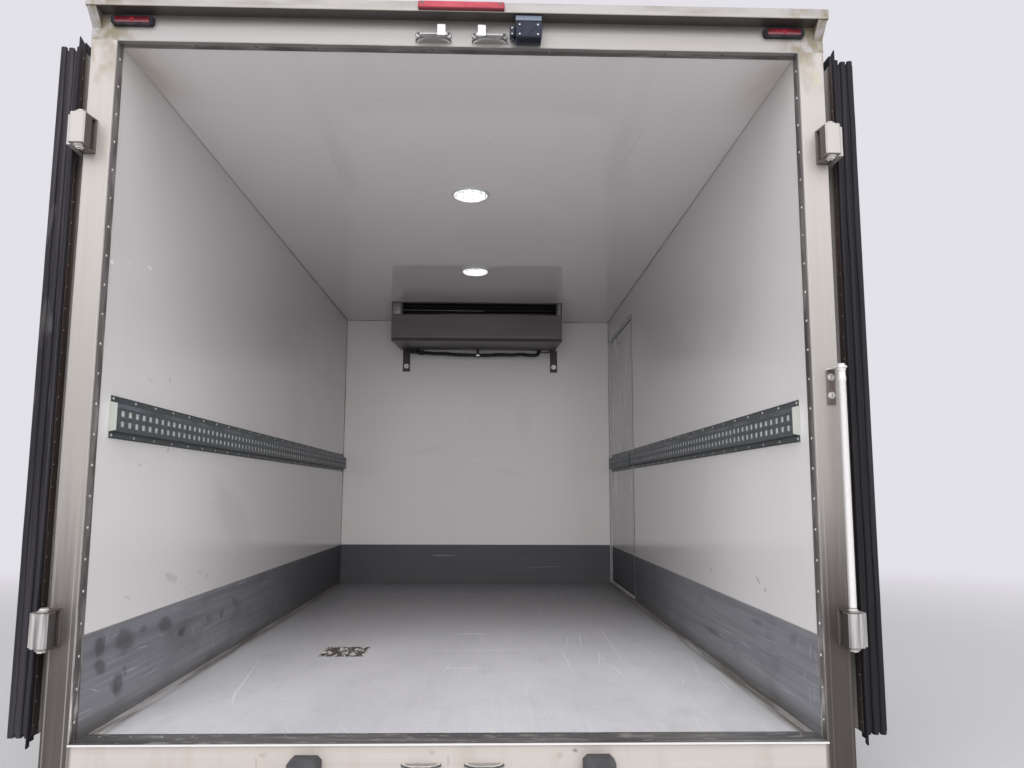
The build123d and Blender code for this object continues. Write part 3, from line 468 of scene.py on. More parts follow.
def steel_finish(name, color, grain, roughness=0.36, metallic=0.6, streak=0.25):
    """Brushed stainless steel. The grain is a scale in waves for each metre, high across the brushing."""
    steel = Finish(name, color, roughness, metallic)
    brushing = steel.drift(grain, 0.25, 0.75, 5.0)
    streaks = [side * (0.25 if side > 9 else 0.5) for side in grain]
    steel.stain(steel_brown, streak, streaks, 0.45, 0.8, 4.0)
    steel.shade("Roughness", brushing, roughness - 0.08, roughness + 0.10)
    steel.relief(brushing, steel_grain)
    return steel


post_steel = steel_finish("post_steel", (0.52, 0.49, 0.46), (180, 180, 2))
# Painted reflection of a dark ground darkens the posts towards the foot, and road dirt runs in streaks
post_steel.coat((0.37, 0.35, 0.325), 0.85, z=(2.3, 1.2))
post_steel.coat(steel_dirt_and_dark_reflection, 0.95, z=(1.25, 0.45))
post_steel.stain((0.065, 0.055, 0.048), 0.75, (30, 1, 1.1), 0.4, 0.7, 5.0, z=(1.5, 0.5))
# Folds of the sheet: a painted highlight on the inner fold. The outer two are paler lines that show lower
# down.
post_steel.coat((0.66, 0.64, 0.61), 0.6, off=(1.209, 1.2125, 0.001))
post_steel.coat((0.42, 0.39, 0.36), 0.6, off=(1.226, 1.229, 0.001), z=(1.6, 0.8))
post_steel.coat((0.36, 0.33, 0.3), 0.6, off=(1.288, 1.291, 0.001), z=(1.6, 0.8))
# The right-hand foot is the darkest, and brown smudges sit under the gussets
post_steel.coat((0.07, 0.06, 0.054), 0.78, x=(1.0, 1.1), z=(1.1, 0.6))
post_steel.stain((0.27, 0.23, 0.16), 0.8, (16, 9, 9), 0.42, 0.62, 5.0, z=(2.5, 2.7))
post_steel.spots(1, {
    steel_brown: ((-1.29, 2.64, 0.012, 0.05, 10, 0.5), (-1.25, 2.59, 0.035, 0.03, 30, 0.45),
        (-1.27, 2.55, 0.02, 0.04, 0, 0.35), (-1.225, 2.61, 0.012, 0.02, 0, 0.5),
        (1.25, 2.66, 0.03, 0.04, 20, 0.45), (1.235, 2.56, 0.02, 0.04, 0, 0.3)),
    steel_yellow: ((1.27, 2.6, 0.02, 0.05, 0, 0.5),)})
beam_steel = steel_finish("beam_steel", (0.43, 0.415, 0.405), (2, 180, 180))
# Painted shadow of the canopy on the face below it, brown corners, and smudges towards its edge
beam_steel.coat(steel_painted_shade, 0.75, z=(2.742, 2.786), y=(-2.58, -2.575))
beam_steel.stain((0.25, 0.215, 0.14), 0.9, (22, 14, 16), 0.42, 0.58, 5.0, off=(1.1, 1.24))
beam_steel.stain((0.27, 0.25, 0.22), 0.55, (5, 9, 24), 0.42, 0.68, 5.0, y=(-2.6, -2.63))
beam_steel.spots(1, {
    steel_brown: ((-0.57, 2.745, 0.3, 0.006, 0, 0.2),)})
# Painted shade on the underside of the canopy, and a pale line along its lower edge
beam_steel.coat(steel_painted_shade, 0.95, z=(2.7895, 2.7905, 0.0004), y=(-2.573, -2.576))
beam_steel.coat((0.5, 0.47, 0.4), 0.4, z=(2.792, 2.797, 0.002))
sill_steel = steel_finish("sill_steel", (0.54, 0.50, 0.47), (2, 160, 160), 0.38, 0.4, 0.2)
sill_steel.stain(steel_brown, 0.35, (14, 1, 3), 0.5, 0.75, 5.0)
sill_steel.coat(steel_dirt_and_dark_reflection, 0.7, z=(0.26, 0.12))
sill_steel.coat((0.12, 0.11, 0.1), 0.8, off=(1.196, 1.206))
sill_steel.spots(1, {
    steel_brown: ((-0.6, 0.295, 0.018, 0.012, 0, 0.5), (-0.62, 0.27, 0.006, 0.03, 0, 0.5),
        (-0.066, 0.3, 0.015, 0.012, 0, 0.5), (-0.015, 0.275, 0.006, 0.03, 0, 0.5),
        (0.341, 0.29, 0.018, 0.02, 0, 0.4), (0.469, 0.261, 0.03, 0.02, 0, 0.4)),
    steel_dirt_and_dark_reflection: ((0.39, 0.305, 0.014, 0.01, 0, 0.6),)})
dress(post_steel, "rear_post_left", "rear_post_right")
dress(beam_steel, "rear_header")
dress(sill_steel, "rear_sill")


# Threshold plate and lining of the aperture: dark scratched sheet, folded at its edges and held by
# blind rivets. Boots and trolleys have rubbed it bright in streaks.
lining_grey = (0.175, 0.16, 0.155)
lining_bright = (0.50, 0.48, 0.46)
lining_step = 0.003
wear_depth = 0.0002
rivet_spacing = 0.098
rivet_radius = 0.005
rivet_rise = 0.0025
rivet_end = 0.06

# Each row is a name, the metal, what dulls it, roughness and how metallic it is
rivet_metal, rivet_dull, rivet_dark = [
    Finish(name, metal, roughness, metallic).stain(dulled, 1, (9, 9, 9), 0.35, 0.65)
    for name, metal, dulled, roughness, metallic in (
        ("rivet_metal", (0.84, 0.83, 0.82), (0.50, 0.48, 0.46), 0.32, 0.35),
        ("rivet_dull", (0.30, 0.29, 0.28), (0.17, 0.16, 0.155), 0.45, 0.5),
        ("rivet_dark", (0.10, 0.09, 0.085), (0.20, 0.18, 0.17), 0.5, 0.5))]


def tree_nodes(name, **inputs):
    """An empty Geometry Nodes tree with named inputs, each with its kind, and its two ends."""
    tree = bpy.data.node_groups.new(name, "GeometryNodeTree")
    for label, kind in (*inputs.items(), ("Material", "Material")):
        tree.interface.new_socket(name=label, in_out="INPUT", socket_type="NodeSocket" + kind)
    tree.interface.new_socket(name="Made", in_out="OUTPUT", socket_type="NodeSocketGeometry")
    return tree, tree.nodes.new("NodeGroupInput").outputs, tree.nodes.new("NodeGroupOutput").inputs["Made"]


def close_tree(tree, shape, given, made):
    """Ends a tree: real geometry with its material on it."""
    real = build(tree, "GeometryNodeRealizeInstances", Geometry=shape)
    feed(made, build(tree, "GeometryNodeSetMaterial", Geometry=real, Material=given["Material"]))


def fixing_tree(name, head):
    """A tree that sets a head every Spacing along guide edges, facing as their attribute says."""
    tree, given, made = tree_nodes(name, Guide="Geometry", Spacing="Float", Radius="Float", Rise="Float")
    line = build(tree, "GeometryNodeMeshToCurve", Mesh=given["Guide"])
    places = build(tree, "GeometryNodeResampleCurve", mode="LENGTH", Curve=line, Length=given["Spacing"])
    facing = build(tree, "GeometryNodeInputNamedAttribute", data_type="FLOAT_VECTOR", Name="facing")
    turn = build(tree, "FunctionNodeAlignRotationToVector", axis="Z", Vector=facing.outputs["Attribute"])
    size = build(tree, "ShaderNodeCombineXYZ", given["Radius"], given["Radius"], given["Rise"])
    shaped = build(tree, "GeometryNodeTransform", Geometry=head(tree), Scale=size)
    close_tree(tree, build(tree, "GeometryNodeInstanceOnPoints", Points=places, Instance=shaped,
                           Rotation=turn), given, made)
    return tree


def rivet_head(tree):
    """A low dome."""
    ball = build(tree, "GeometryNodeMeshUVSphere", Segments=10, Rings=6, Radius=1.0)
    return build(tree, "GeometryNodeSetShadeSmooth", Geometry=ball)


def bolt_head(tree):
    """A hexagon head on a round washer."""
    joined = build(tree, "GeometryNodeJoinGeometry")
    # Each row is the number of sides, the width and the height as shares of the head's, and its base
    for sides, width, height, base in ((6, 1.0, 0.75, 0.25), (18, 1.55, 0.25, 0.0)):
        disc = build(tree, "GeometryNodeMeshCylinder", Vertices=sides, Radius=width, Depth=height)
        feed(joined.inputs[0], build(tree, "GeometryNodeTransform", Geometry=disc,
                                     Translation=(0, 0, base + height / 2)))
    return joined


def grown(name, tree, points, edges, finish, body, slot, facings=(), **values):
    """The piece that a tree makes over guide points and edges."""
    guide = bpy.data.meshes.new(name)
    guide.from_pydata(points, edges, [])
    if facings:
        attribute = guide.attributes.new("facing", "FLOAT_VECTOR", "POINT")
        for place, facing in enumerate(facings):
            attribute.data[place].vector = facing
    piece = bpy.data.objects.new(name, guide)
    scene.collection.objects.link(piece)
    modifier = piece.modifiers.new("made", "NODES")
    modifier.node_group = tree
    for label, value in (("Material", finish.material), *values.items()):
        modifier[tree.interface.items_tree[label].identifier] = value
    piece = settle(piece)
    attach(piece, body)
    return piece


rivet_tree = fixing_tree("rivet_rows", rivet_head)
bolt_tree = fixing_tree("bolt_rows", bolt_head)


def fixings(name, tree, rows, finish, body, slot, spacing=rivet_spacing, radius=rivet_radius,
            rise=rivet_rise):
    """Fixings along rows, each a start, an end and the way that the heads face."""
    grown(name, tree, [point for row in rows for point in row[:2]],
          [(2 * row, 2 * row + 1) for row in range(len(rows))], finish, body, slot,
          [row[2] for row in rows for point in row[:2]], Spacing=spacing, Radius=radius, Rise=rise)


lining = Finish("lining_sheet", lining_grey, 0.42, 0.5)
wear = lining.drift((5, 30, 7), 0.46, 0.72, 5.0)
lining.coat(lining_bright, 0.8, mask=wear)
# Dark patches, pale flakes towards the foot, and a paler edge at the opening
lining.stain((0.07, 0.062, 0.06), 0.7, (3, 3, 1.3), 0.5, 0.62, 4.0)
lining.stain((0.75, 0.73, 0.7), 1, (30, 30, 5), 0.52, 0.62, 5.0, z=(0.85, 0.35))
lining.coat((0.33, 0.31, 0.3), 0.7, y=(frame_y + 0.026, frame_y + 0.016), z=(0.5, 1.2))
lining.relief(wear, wear_depth)
dress(lining, "aperture_lining")
plate = Finish("threshold_plate", (0.165, 0.16, 0.16), 0.38, 0.6)
wear = plate.drift((4, 60, 7), 0.46, 0.70, 5.0)
plate.coat((0.36, 0.35, 0.345), 0.8, mask=wear)
# Dark patches, pale flecks, and a bright line along the outer fold
plate.stain((0.05, 0.045, 0.045), 0.7, (1.2, 8, 1), 0.56, 0.7, 4.0)
plate.stain((0.55, 0.535, 0.525), 0.6, (13, 40, 60), 0.56, 0.64, 5.0)
plate.coat((0.86, 0.85, 0.83), y=(frame_y - 0.004, frame_y - 0.0065))
plate.relief(wear, wear_depth)
dress(plate, "threshold")

lining_low, lining_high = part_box("aperture_lining")
rivet_y = (lining_low.y + lining_high.y) / 2
rows = [((x, rivet_y, floor_z + rivet_end), (x, rivet_y, ceiling_z - rivet_end), (way, 0, 0))
        for x, way in ((lining_low.x + lining_step, 1), (lining_high.x - lining_step, -1))]
fixings("lining_rivets", rivet_tree, rows, rivet_metal, "box", "stainless")
# Each row is a name, the place and height of a row across the body, its facing, metal, spacing and radius
for name, y, z, way, metal, spacing, radius in (
        ("threshold_rivets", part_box("threshold")[1].y - 0.03, floor_z, 1, rivet_dull, rivet_spacing,
         rivet_radius),
        ("lining_top_rivets", rivet_y, lining_high.z - lining_step, -1, rivet_dark, 2 * rivet_spacing,
         0.007)):
    fixings(name, rivet_tree, [((left_x + rivet_end, y, z), (right_x - rivet_end, y, z), (0, 0, way))], metal,
            "box", "stainless", spacing, radius)


# Kick plates: planks of blue-grey aluminium with fine lengthwise drawing lines. Pallet corners have
# scuffed them dark and scratched them bright, most of all beside the doors.
kick_grey = (0.275, 0.282, 0.312)
kick_pale = (0.42, 0.435, 0.465)
kick_dark = (0.075, 0.078, 0.09)
kick_painted_shade = (0.085, 0.086, 0.100)
scratch_bright = (0.72, 0.73, 0.76)


def kick_finish(name, facing, marks):
    """Drawn aluminium plank with the marks of its own side."""
    kick = Finish(name, kick_grey, 0.45, 0.3)
    # Drawing lines, pale and dark, fine scratches along them, and wide stains over all
    kick.stain(kick_pale, 0.6, (2, 0.9, 60), 0.42, 0.75, 5.0)
    kick.stain(kick_dark, 0.3, (2, 0.7, 24), 0.5, 0.66, 5.0, 3)
    kick.stain(scratch_bright, 0.45, (8, 5, 170), 0.68, 0.72, 3.0)
    kick.stain(kick_pale, 0.3, (1.0, 0.5, 9), 0.4, 0.75, 3.0)
    kick.stain(kick_dark, 0.35, (3.4, 2.6, 5.0), 0.52, 0.72, 5.0)
    # Painted shade darkens it towards the front; dirt along the floor, and a pale top edge
    kick.coat(kick_painted_shade, 0.9, y=(-1.2, 1.3))
    kick.stain((0.12, 0.11, 0.09), 0.6, (3, 2, 6), 0.3, 0.6, z=(0.4, 0.335))
    kick.coat((0.46, 0.42, 0.37), 0.7, z=(0.6525, 0.654))
    kick.spots(facing, marks)
    kick.relief(kick.drift((1.5, 1.5, 260), 0.3, 0.7, 1.0), 0.0003)
    return kick


kick_left = kick_finish("kick_metal_left", 0, {
    kick_dark: ((-2.403, 0.6, 0.06, 0.05, 10, 0.7), (-2.395, 0.53, 0.072, 0.034, 20, 0.65),
        (-2.205, 0.585, 0.12, 0.062, 10, 0.6), (-2.24, 0.44, 0.06, 0.055, 20, 0.65),
        (-2.19, 0.475, 0.035, 0.022, 45, 0.45), (-1.83, 0.582, 0.1, 0.05, 10, 0.6),
        (-1.64, 0.521, 0.07, 0.026, 0, 0.65), (-1.1, 0.52, 0.04, 0.035, 0, 0.45),
        (-2.271, 0.436, 0.06, 0.03, 30, 0.4), (-2.05, 0.6, 0.05, 0.02, 0, 0.4),
        (-1.3, 0.52, 0.1, 0.035, 0, 0.35), (-0.9, 0.56, 0.08, 0.03, 10, 0.3)),
    scratch_bright: ((-1.342, 0.528, 0.05, 0.003, 40, 0.6), (-1.496, 0.503, 0.055, 0.003, 50, 0.6),
        (-1.211, 0.41, 0.06, 0.003, 55, 0.5), (-2.043, 0.532, 0.07, 0.003, 5, 0.5),
        (-0.787, 0.637, 0.12, 0.004, 0, 0.5), (-2.42, 0.46, 0.05, 0.0025, 20, 0.6),
        (-2.15, 0.47, 0.09, 0.0025, 3, 0.5), (-1.95, 0.42, 0.12, 0.0025, -3, 0.4),
        (-1.72, 0.63, 0.1, 0.0025, 2, 0.4), (-2.35, 0.62, 0.05, 0.002, -60, 0.5))})
kick_right = kick_finish("kick_metal_right", 0, {
    scratch_bright: ((-2.459, 0.594, 0.045, 0.0025, 80, 0.8), (-2.505, 0.56, 0.06, 0.002, 100, 0.7),
        (-2.44, 0.43, 0.05, 0.0025, 95, 0.8), (-2.48, 0.46, 0.07, 0.002, 84, 0.7),
        (-2.4, 0.5, 0.04, 0.002, 70, 0.6), (-1.453, 0.494, 0.16, 0.003, 2, 0.5),
        (-1.735, 0.482, 0.12, 0.003, -3, 0.5), (-2.0, 0.55, 0.2, 0.003, 2, 0.4),
        (-1.1, 0.6, 0.14, 0.003, 0, 0.4), (-2.2, 0.4, 0.15, 0.003, 4, 0.4)),
    kick_dark: ((-1.9, 0.6, 0.1, 0.02, 0, 0.35), (-2.3, 0.6, 0.06, 0.03, 20, 0.3),
        (-1.2, 0.45, 0.2, 0.02, 0, 0.3))})
kick_front = kick_finish("kick_metal_front", 1, {
    kick_pale: ((-0.3, 0.56, 0.2, 0.012, 0, 0.3), (0.6, 0.46, 0.25, 0.006, 2, 0.3))})
dress(kick_left, "kick_plate_left")
dress(kick_right, "kick_plate_right", "side_door_kick_plate")
dress(kick_front, "kick_plate_front")


# Load rails: hat sections of dull galvanised steel with two rows of slots, riveted to the walls
# through their flanges. A cap closes each end, and a pale strip close behind the slots is painted
# light for the white wall seen through them.
rail_grey = (0.105, 0.125, 0.13)
rail_pale = (0.225, 0.25, 0.26)
cap_cream = (0.50, 0.515, 0.475)
flange_inset = 0.011
flange_start = 0.022
flange_spacing = 0.181
flange_rivet_radius = 0.0055
liner_gap = 0.0004
liner_thickness = 0.0012
liner_inset = 0.012
liner_heights = (1.338, 1.410)
web_sheet = 0.003

galvanised = Finish("galvanised_rail", rail_grey, 0.48, 0.5)
spangle = build(galvanised.tree, "ShaderNodeTexVoronoi", Vector=galvanised.place, Scale=90)
# Spangle, streaks along the rail, and a cold light on its upper bend
galvanised.coat(rail_pale, 0.5, mask=spangle.outputs["Distance"])
galvanised.stain(rail_pale, 0.7, (8, 1.2, 60), 0.5, 0.8, 4.0)
galvanised.stain((0.25, 0.275, 0.32), 0.8, (1, 5, 20), 0.42, 0.62, z=(1.411, 1.428, 0.003))
# Painted shade in dark lines along the bends of the sheet, and the pale cap on the end
rail_rear_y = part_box("load_rail_left")[0].y
for bend in (1.3065, 1.3265, 1.4305, 1.4505):
    galvanised.coat((0.035, 0.04, 0.042), 0.75, z=(bend - 0.001, bend + 0.001, 0.0012))
galvanised.coat(cap_cream, y=(rail_rear_y + 0.0012, rail_rear_y + 0.0006))
dress(galvanised, "load_rail_left", "load_rail_right", "side_door_load_rail")


class Shape:
    """A mesh in the making, of blocks, cut plates and turned parts, that becomes one piece."""

    def __init__(self):
        self.mesh = bmesh.new()

    def bevel(self, edges, width, segments):
        """Rounds edges."""
        if width:
            bmesh.ops.bevel(self.mesh, geom=edges, offset=width, segments=segments, profile=0.5,
                            affect="EDGES")

    def block(self, low, high, bevel=0.0, segments=2):
        """A block between two corners, given in any order."""
        made = bmesh.ops.create_cube(self.mesh, size=1.0)["verts"]
        size = Vector([abs(b - a) for a, b in zip(low, high)])
        bmesh.ops.scale(self.mesh, vec=size, verts=made)
        bmesh.ops.translate(self.mesh, vec=(Vector(high) + Vector(low)) / 2, verts=made)
        self.bevel(list({edge for vert in made for edge in vert.link_edges}), bevel, segments)

    def cut(self, outline, axis, start, end, bevel=0.0, segments=1):
        """A plate cut to an outline, from start to end along an axis. The outline gives the other two."""
        rings = []
        for level in (start, end):
            ring = []
            for point in outline:
                place = list(point)
                place.insert(axis, level)
                ring.append(self.mesh.verts.new(place))
            rings.append(ring)
        self.bridge(rings)
        self.bevel(list({edge for ring in rings for vert in ring for edge in vert.link_edges}), bevel,
                   segments)

    def bridge(self, rings):
        """Walls between rings of points, closed by a face at each end."""
        for lower, upper in zip(rings, rings[1:]):
            count = max(len(lower), len(upper))
            for step in range(count):
                after = (step + 1) % count
                corners = (lower[step % len(lower)], lower[after % len(lower)],
                           upper[after % len(upper)], upper[step % len(upper)])
                self.mesh.faces.new(list(dict.fromkeys(corners)))
        for ring in (rings[0], rings[-1]):
            if len(ring) > 2:
                self.mesh.faces.new(ring)

    def turned(self, centre, axis, outline, sides=20, turn=0.0):
        """A part turned on a lathe. The outline is rows of radius and distance along the axis, after a
        first point at the centre."""
        turning = Vector(axis).to_track_quat("Z", "Y").to_matrix()
        rings = []
        for radius, along in ((0, 0), *outline):
            count = sides if radius else 1
            angles = [turn + 2 * math.pi * step / count for step in range(count)]
            rings.append([self.mesh.verts.new(Vector(centre) + turning @ Vector(
                (radius * math.cos(angle), radius * math.sin(angle), along))) for angle in angles])
        self.bridge(rings)

    def disc(self, centre, axis, radius, height, sides=20):
        """A flat disc, or a rod."""
        self.turned(centre, axis, ((radius, 0), (radius, height), (0, height)), sides)

    def piece(self, name, finish, body, slot, replaces=(), sharp=35):
        """The finished piece."""
        bmesh.ops.recalc_face_normals(self.mesh, faces=self.mesh.faces)
        mesh = bpy.data.meshes.new(name)
        self.mesh.to_mesh(mesh)
        self.mesh.free()
        mesh.materials.append(finish.material)
        made = bpy.data.objects.new(name, mesh)
        scene.collection.objects.link(made)
        for face in mesh.polygons:
            face.use_smooth = True
        mesh.set_sharp_from_angle(angle=math.radians(sharp))
        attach(made, body)
        if replaces:
            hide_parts(*replaces)
        return made


# A pale strip behind each rail's slots, as painted light for the white wall seen through them
slot_light_liner = Finish("slot_light_liner", (0.78, 0.79, 0.79), 0.45)
slot_light_liner.stain((0.5, 0.51, 0.51), 0.6, (1, 3, 40))
# Shadows between the two rows of slots and along both edges
slot_light_liner.coat((0.05, 0.055, 0.06), 0.85, z=(1.366, 1.38, 0.004))
slot_light_liner.coat((0.03, 0.033, 0.036), 0.9, z=(1.398, 1.404))
slot_light_liner.coat((0.04, 0.043, 0.046), 0.8, z=(1.348, 1.343))
for node, body, way in (("load_rail_left", "box", 1), ("load_rail_right", "box", -1),
                        ("side_door_load_rail", "side_door", -1)):
    low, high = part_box(node)
    wall, web = (low.x, high.x) if way > 0 else (high.x, low.x)
    flange_x = wall + way * web_sheet
    rows = [((flange_x, low.y + flange_start, z), (flange_x, high.y - flange_start, z), (way, 0, 0))
            for z in (low.z + flange_inset, high.z - flange_inset)]
    fixings(node + "_rivets", rivet_tree, rows, rivet_metal, body, "stainless", flange_spacing,
            flange_rivet_radius, 0.003)
    back = web - way * (web_sheet + liner_gap)
    shape = Shape()
    shape.block((back, low.y + liner_inset, liner_heights[0]),
                (back - way * liner_thickness, high.y - liner_inset, liner_heights[1]))
    shape.piece(node + "_liner", slot_light_liner, body, "galvanised")


# Edge rails and corner posts on the outside: mill-finish aluminium angle, riveted over the joints of
# the panels in rows along the sides, up the corners and across the front
edge_inset = 0.020
foot_inset = 0.030
outside_spacing = 0.15
rail_metal = Finish("rail_aluminium", (0.62, 0.63, 0.64), 0.42, 0.85)
rail_metal.stain((0.42, 0.42, 0.42), 0.8, (2, 1.2, 3), 0.4, 0.7)
rail_metal.relief(rail_metal.drift((30, 1, 30), 0.2, 0.8), 0.0002)
dress(rail_metal, "roof_rails", "floor_rails", "front_corner_posts")
roof_low, roof_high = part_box("roof_rails")
post_low, post_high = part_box("front_corner_posts")
rail_heights = (roof_low.z + edge_inset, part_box("floor_rails")[1].z - foot_inset)
foot, head = post_low.z + 0.08, post_high.z - 0.04
rows = []
for side in (-1, 1):
    x = side * roof_high.x
    rows += [((x, roof_low.y + 0.06, z), (x, roof_high.y - 0.09, z), (side, 0, 0)) for z in rail_heights]
    rows.append(((x, post_low.y + 0.05, foot), (x, post_low.y + 0.05, head), (side, 0, 0)))
    edge = side * (roof_high.x - 0.035)
    rows.append(((edge, post_high.y, foot), (edge, post_high.y, head), (0, 1, 0)))
rows += [((-1.1, roof_high.y, z), (1.1, roof_high.y, z), (0, 1, 0)) for z in rail_heights]
fixings("outside_rivets", rivet_tree, rows, rivet_metal, "box", "rail_aluminium", outside_spacing)


# Rear doors: white leaves with a trim strip riveted round the hinge edge of the skin, and a strip
# of rubber over the parting of the right-hand one
door_skin = panel_finish("door_skin", 0.24, (4, 4, 1.2))
door_skin.stain((0.56, 0.545, 0.54), 0.9, (1.2, 1.2, 0.8), 0.0, 0.5)
door_skin.coat((0.5, 0.48, 0.46), 0.4, z=(1.1, 0.35))
dress(door_skin, "left_door_leaf", "right_door_leaf", "side_door_leaf")
trim_metal = Finish("door_trim", (0.055, 0.040, 0.038), 0.5, 0.3)
trim_metal.stain((0.1, 0.078, 0.072), 0.8, (20, 20, 1.2), 0.4, 0.7, 4.0)
# Paler along one edge towards the top
trim_metal.coat((0.36, 0.315, 0.29), 0.8, z=(1.5, 2.4), y=(-2.538, -2.534))
trim_thickness = 0.0014
trim_y = (-2.5615, -2.522)
trim_rivet_spacing = 0.075
for side, door in ((-1, "left_door"), (1, "right_door")):
    low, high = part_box(door + "_leaf")
    skin_x = low.x if side > 0 else high.x
    shape = Shape()
    shape.block((skin_x, trim_y[0], low.z), (skin_x - side * trim_thickness, trim_y[1], high.z), 0.0004, 1)
    shape.piece(door + "_trim", trim_metal, door, "rail_aluminium")
    x, y = skin_x - side * trim_thickness, trim_y[0] + 0.010
    fixings(door + "_trim_rivets", rivet_tree, [((x, y, low.z + 0.03), (x, y, high.z - 0.03), (-side, 0, 0))],
            rivet_dull, door, "stainless", trim_rivet_spacing, 0.0030, 0.0016)


# Rubber edge of the rear doors: three thick lips that wipe the frame all round, gone a little wavy
# with the years, and a flap that laps the face of the post. The upright lips are cut long at the top.
rubber_black = (0.016, 0.0148, 0.0175)
rubber_grey = (0.050, 0.047, 0.056)
lip_centres = (1.3525, 1.3795, 1.4055)
lip_half = 0.0112
lip_rise = 0.0118
lip_wave = 0.0014
lip_step = 0.045
# Half outline of a lip, as shares of its half width and its rise
lip_outline = ((-1, 0), (-1, 0.55), (-0.82, 0.84), (-0.35, 1), (0.35, 1), (0.82, 0.84), (1, 0.55), (1, 0))
seal_foot = 0.0003
seal_inner = 1.339
seal_outer = 1.4172
seal_thickness = 0.004
flap_faces = (1.3335, 1.3385)
# How far the upright part of each lip is left long at the top, from the frame outwards
lip_tops = (0.016, 0.011, 0.014)

rubber = Finish("seal_rubber", rubber_black, 0.55)
feed(rubber.shader.inputs["Specular IOR Level"], 0.25)
# Worn grey in streaks, dry mud in places, and blacker on the right-hand door
rubber.stain(rubber_grey, 0.8, (60, 60, 1.0), 0.45, 0.75, 4.0)
rubber.stain((0.13, 0.125, 0.12), 0.4, (9, 9, 2.5), 0.62, 0.72, 4.0)
rubber.coat((0.007, 0.0065, 0.008), 0.6, x=(1.2, 1.3))
rubber.relief(rubber.drift((160, 160, 4), 0.3, 0.7), 0.0004)
dress(rubber, "side_door_seal", "right_door_astragal")


def lip(shape, start, end, out, across, phase):
    """One rubber lip from start to end, standing out along out, with its width along across."""
    run = Vector(end) - Vector(start)
    count = max(2, round(run.length / lip_step))
    rings = []
    for step in range(count + 1):
        along = run.length * step / count
        sway = lip_wave * (0.6 * math.sin(7.1 * along + phase) + 0.4 * math.sin(19.3 * along + 2.1 * phase))
        rise = lip_rise * (0.93 + 0.07 * math.sin(11.7 * along + 1.7 * phase))
        centre = Vector(start) + run * step / count + Vector(across) * sway
        rings.append([shape.mesh.verts.new(centre + Vector(across) * (lip_half - lip_wave) * wide
                                           + Vector(out) * (seal_foot + (rise - seal_foot) * high))
                      for wide, high in lip_outline])
    shape.bridge(rings)


for side, door in ((-1, "left_door"), (1, "right_door")):
    low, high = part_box(door + "_leaf")
    seal_low, seal_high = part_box(door + "_seal")
    shape = Shape()
    for place, (centre, cut_long) in enumerate(zip(lip_centres, lip_tops)):
        x = side * centre
        for start, end, out in (
                ((x, low.y, low.z - 0.010), (x, low.y, high.z + cut_long), (0, -1, 0)),
                ((x, low.y, high.z), (x, high.y, high.z), (0, 0, 1)),
                ((x, high.y, high.z + 0.011), (x, high.y, low.z - 0.011), (0, 1, 0)),
                ((x, high.y, low.z), (x, low.y, low.z), (0, 0, -1))):
            lip(shape, start, end, out, (1, 0, 0), 1.3 * place + 2.9 * side)
    for base, top in (((low.y - seal_thickness, low.z), (low.y - seal_foot, high.z)),
                      ((high.y + seal_foot, low.z), (high.y + seal_thickness, high.z)),
                      ((low.y, high.z + seal_foot), (high.y, high.z + seal_thickness)),
                      ((low.y, low.z - seal_thickness), (high.y, low.z - seal_foot))):
        shape.block((side * seal_inner, *base), (side * seal_outer, *top))
    # Flap: its upright part, its tail below the leaf and its part over the leaf
    for rounding, outline in (
            (0.0015, ((seal_low.y, low.z - 0.017), (low.y - seal_foot, low.z - 0.017),
                      (low.y - seal_foot, seal_high.z - 0.012), (seal_low.y + 0.004, seal_high.z))),
            (0.001, ((seal_low.y, seal_low.z), (seal_low.y + 0.018, seal_low.z + 0.003),
                     (seal_low.y + 0.018, low.z - 0.0172), (seal_low.y, low.z - 0.0172))),
            (0.0015, ((low.y + 0.001, high.z + seal_foot), (low.y + 0.89, high.z + seal_foot),
                      (low.y + 0.89, seal_high.z - 0.001), (low.y + 0.001, seal_high.z - 0.001)))):
        shape.cut(outline, 0, *[side * face for face in flap_faces], rounding)
    shape.piece(door + "_rubber_edge", rubber, door, "seal_rubber", (door + "_seal",), 50)


# Hinges of the rear doors: a web and two tapered ears welded to the post, a pin with a domed nut at
# its top and a nut and washer at its foot, and a square knuckle between the ears on the door's blade
hinge_pin = (1.284, -2.634)
ear_thickness = 0.007
web_inner = 1.255
web_outer = 1.300
web_thickness = 0.008
pin_head = 0.009
pin_radius = 0.0098
bracket_spans = ((0.618, 0.758), (2.265, 2.405))
# Outline of an ear round the pin's axis, as steps outwards and towards the frame
ear_outline = ((0.020, 0.010), (0.016, -0.012), (0.008, -0.020), (-0.008, -0.020), (-0.016, -0.012),
               (-0.020, 0.010))

hinge_steel = steel_finish("hinge_steel", (0.44, 0.395, 0.365), (160, 160, 3), 0.36, 0.5, 0.3)
# Darker in the hollow between web and pin, and darker on the lower hinges
hinge_steel.coat((0.085, 0.068, 0.06), 0.85, y=(-2.64, -2.579, 0.003))
hinge_steel.coat(steel_dirt_and_dark_reflection, 0.35, z=(1.0, 0.75))
knuckle_steel = steel_finish("knuckle_steel", (0.47, 0.45, 0.435), (160, 160, 3), 0.34, 0.45, 0.2)
knuckle_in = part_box("right_door_hinge_blades")[0].x
# A dark inner side, and a blue-grey film on the lower knuckles
knuckle_steel.coat((0.05, 0.042, 0.038), 0.92, off=(knuckle_in + 0.0016, knuckle_in + 0.0006))
knuckle_steel.stain((0.115, 0.118, 0.128), 0.85, (60, 30, 3), 0.4, 0.62, z=(1.2, 0.9))
dress(knuckle_steel, "left_door_hinge_blades", "right_door_hinge_blades")

